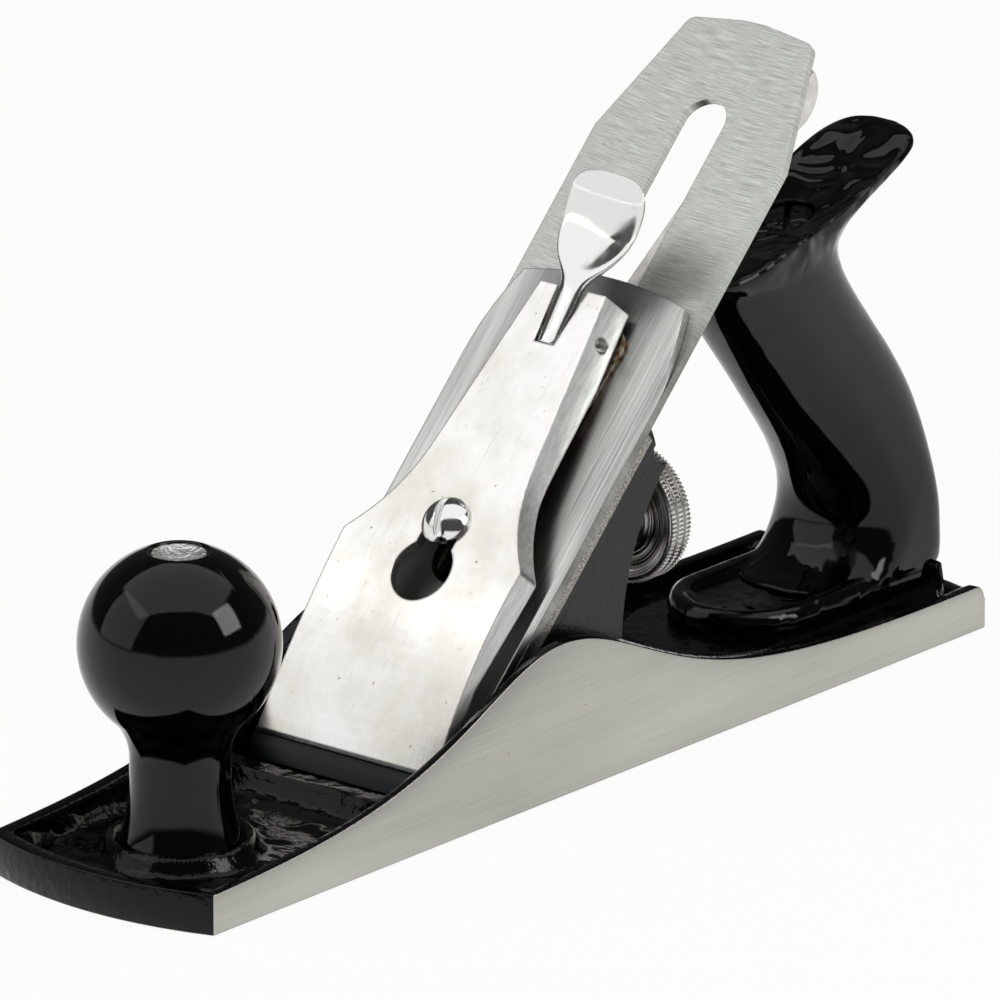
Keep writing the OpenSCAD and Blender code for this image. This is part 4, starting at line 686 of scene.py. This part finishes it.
# Front of the section x and z, back x and z, half thickness, how square front and back are, scoop
grip_sections = [
    (90, 11.5, 127.6, 11.5, 16.9, 2.6, 9.0, 0), (97, 14, 128.2, 14, 17.2, 2.4, 9.0, 0),
    (102, 18, 128.6, 19, 17.5, 2.3, 6.5, 0), (104.4, 24, 128.8, 25, 17.3, 2.2, 5.5, 0),
    (103.2, 30, 128.7, 31, 16.5, 2.2, 5.0, 0), (98.6, 37, 128.4, 37.5, 15.2, 2.2, 4.6, 0),
    (93.6, 43.5, 127.4, 44, 14.1, 2.2, 4.2, 0), (87.2, 51, 125.1, 51.5, 13.1, 2.2, 3.8, 0),
    (80, 60, 120, 60, 12.6, 2.2, 3.6, 0), (73.8, 68, 114.3, 68, 12.5, 2.3, 3.2, 0),
    (67.8, 76, 108.5, 76, 12.5, 2.5, 3.0, 0), (63.3, 83, 105.4, 81.5, 12.5, 3.0, 2.8, 0),
    (61.0, 87.0, 104.4, 86.5, 12.4, 4.0, 2.7, 0.4), (73.0, 90.0, 105.6, 90.2, 12.3, 7.0, 2.6, 1.3),
    (84.0, 92.7, 107.6, 93.2, 12.3, 8.0, 2.6, 1.9), (96.8, 95.9, 111.2, 96.4, 12.3, 8.0, 2.6, 2.1),
    (107.0, 99.5, 115.8, 99.2, 12.3, 8.0, 2.8, 1.9), (114.5, 102.5, 120.3, 101.6, 12.1, 7.0, 3.0, 1.3),
    (120.6, 105.1, 124.6, 103.3, 10.9, 5.0, 3.0, 0.6), (124.8, 106.8, 127.2, 104.7, 8.0, 3.5, 3.0, 0.2),
    (126.7, 107.1, 128.0, 105.9, 4.0, 3.0, 3.0, 0)]
grip_sides = 72
# Inset from the foot's outline, and height
foot_rings = [(0.3, 8.6), (-0.2, 9.2), (-0.4, 10.5), (0.1, 12.2), (0.9, 13.3), (2.0, 13.7), (3.4, 13.4),
              (4.4, 12.6), (5.6, 11.4), (7, 11.0)]

rings = []
for front_x, front_z, back_x, back_z, half, front_square, back_square, scoop in through(grip_sections, 5):
    front, back = np.array([front_x, front_z]), np.array([back_x, back_z])
    ring = []
    for a in np.arange(grip_sides) * 2 * math.pi / grip_sides:
        square = 2 / (front_square if math.cos(a) < 0 else back_square)
        along, across = power(math.cos(a), square), power(math.sin(a), square)
        x, z = (front + back) / 2 + (back - front) / 2 * along
        ring.append((x, half * across, z - scoop * (1 - across ** 2) * max(0, -along)))
    rings.append(ring)
grip = solid("rear_handle", [p for ring in rings for p in ring], skin(rings), lacquer, 60)

# The nut's recess is drilled down the leaning rod's axis
bolt_axis = Matrix.Translation((bolt_x, 0, bolt_z)) @ Matrix.Rotation(math.radians(-bolt_lean), 4, "Y")
hole_top = nut_seat + past_horn
hole = [(0, nut_seat), (nut_hole_r, nut_seat), (nut_hole_r, hole_top), (0, hole_top)]
points, faces = turned(hole, lambda u, v, h: tuple(bolt_axis @ Vector((u, v, h))), 64)
drill = solid("nut_hole", points, faces, lacquer)
bored = grip.modifiers.new("nut_hole", "BOOLEAN")
bored.operation, bored.object, bored.solver = "DIFFERENCE", drill, "EXACT"
mesh = settle(grip)
bpy.data.objects.remove(drill)

# The foot is round in front and nearly square behind, with a rounded edge and a hollow round the grip
rings = []
for inset, z in foot_rings:
    toe_r, corner = foot_half - inset, max(least_corner, foot_corner - inset)
    outline = [(foot_front + foot_half + toe_r * math.cos(a), toe_r * math.sin(a))
               for a in np.linspace(0.5, 1.5, 33) * math.pi]
    for y_sign, start in ((-1, -0.5), (1, 0)):
        outline += [(foot_back - inset - corner + corner * math.cos(a),
                     y_sign * (foot_half - inset - corner) + corner * math.sin(a))
                    for a in np.linspace(start, start + 0.5, 9) * math.pi]
    rings.append([(x, y, z) for x, y in outline])
foot = solid("handle_foot", [p for ring in rings for p in ring], skin(rings), lacquer, 60)
whole = bmesh.new()
whole.from_mesh(mesh)
whole.from_mesh(foot.data)
whole.to_mesh(mesh)
whole.free()
bpy.data.objects.remove(foot)
mesh.shade_smooth()
mesh.set_sharp_from_angle(angle=math.radians(60))
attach(grip, "body")
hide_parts("tote")
dress(bright_steel, "tote_stud")
dress(lacquer, "tote_nut")

# Stage: a plain pale floor, three soft boxes as in a product studio, and a camera where the
# photograph was taken from. Rays that look at the floor, or mirror it, see it almost white.
floor_half, floor_drop, glow_share = 3000, 0.3, 0.93
floor_finish, tree = material("pale_floor")
path = add(tree, "LightPath").node.outputs
seen = add(tree, "Math", {0: path["Is Camera Ray"], 1: path["Is Glossy Ray"]}, operation="MAXIMUM")
seen = add(tree, "Math", {0: seen, 1: path["Is Transmission Ray"]}, operation="MAXIMUM")
share = add(tree, "Math", {0: seen, 1: glow_share}, operation="MULTIPLY")
matt = add(tree, "BsdfPrincipled", {"Base Color": linear("#F4F4F2"), "Roughness": 0.9})
glow = add(tree, "Emission", {"Color": linear("#FFFFFF"), "Strength": 1.0})
add(tree, "OutputMaterial", {"Surface": add(tree, "MixShader", {0: share, 1: matt, 2: glow})})
corners = [(-floor_half, -floor_half, -floor_drop), (floor_half, -floor_half, -floor_drop),
           (floor_half, floor_half, -floor_drop), (-floor_half, floor_half, -floor_drop)]
floor = solid("floor", corners, [(0, 1, 2, 3)], floor_finish)

# The world is white at the horizon and nearly dark above, so that black gloss stays black between lamps
horizon, sky, sky_height = 1.0, 0.07, 0.09
world = bpy.data.worlds.new("studio")
bpy.context.scene.world = world
world.use_nodes = True
tree = world.node_tree
tree.nodes.clear()
height = add(tree, "SeparateXYZ", {0: add(tree, "TexCoord", out="Generated")}, out=2)
strength = add(tree, "MapRange", {"Value": height, "From Min": 0.0, "From Max": sky_height,
                                  "To Min": horizon, "To Max": sky}, interpolation_type="SMOOTHSTEP")
light = add(tree, "Background", {"Color": linear("#FFFFFF"), "Strength": strength})
add(tree, "OutputWorld", {"Surface": light})


def soft_box(name, place, aim, size, radiance, turn=0):
    """Rectangular lamp of that size in metres that faces its aim and looks as bright as its radiance."""
    lamp = bpy.data.lights.new(name, "AREA")
    lamp.shape = "RECTANGLE"
    lamp.size, lamp.size_y = size
    lamp.energy = radiance * math.pi * size[0] * size[1]
    made = bpy.data.objects.new(name, lamp)
    made.location = place
    facing = (Vector(aim) - Vector(place)).to_track_quat("-Z", "Y")
    made.rotation_euler = (facing @ Quaternion((0, 0, 1), math.radians(turn))).to_euler()
    bpy.context.scene.collection.objects.link(made)


aim = Vector((0, 0, 0.05))
soft_box("overhead", (-0.2, 0, 1.2), (-0.2, 0, 0), (2.5, 1.5), 1.05, -50)
soft_box("left", aim + 1.4 * Vector((-0.74, 0.53, 0.42)), aim, (1.2, 1.05), 0.9)
soft_box("key", aim + 1.3 * Vector((0.21, -0.823, 0.5255)), aim, (0.55, 0.6), 5.5)

# Found by fitting the camera to 13 corners of the object in the photograph
target, distance, sensor, lens_ratio = Vector((0, -0.00025, 0.05424)), 3.1885, 36, 15.419
azimuth, elevation = math.radians(-50.06), math.radians(18.39)
back = Vector((math.sin(azimuth) * math.cos(elevation), -math.cos(azimuth) * math.cos(elevation),
               math.sin(elevation)))
lens = bpy.data.cameras.new("camera")
lens.sensor_width = sensor
lens.lens = sensor * lens_ratio
lens.clip_start, lens.clip_end = 0.1, 20
camera = bpy.data.objects.new("camera", lens)
camera.location = target + back * distance
camera.rotation_euler = back.to_track_quat("Z", "Y").to_euler()
bpy.context.scene.collection.objects.link(camera)
bpy.context.scene.camera = camera
bpy.context.scene.view_settings.view_transform = "Standard"
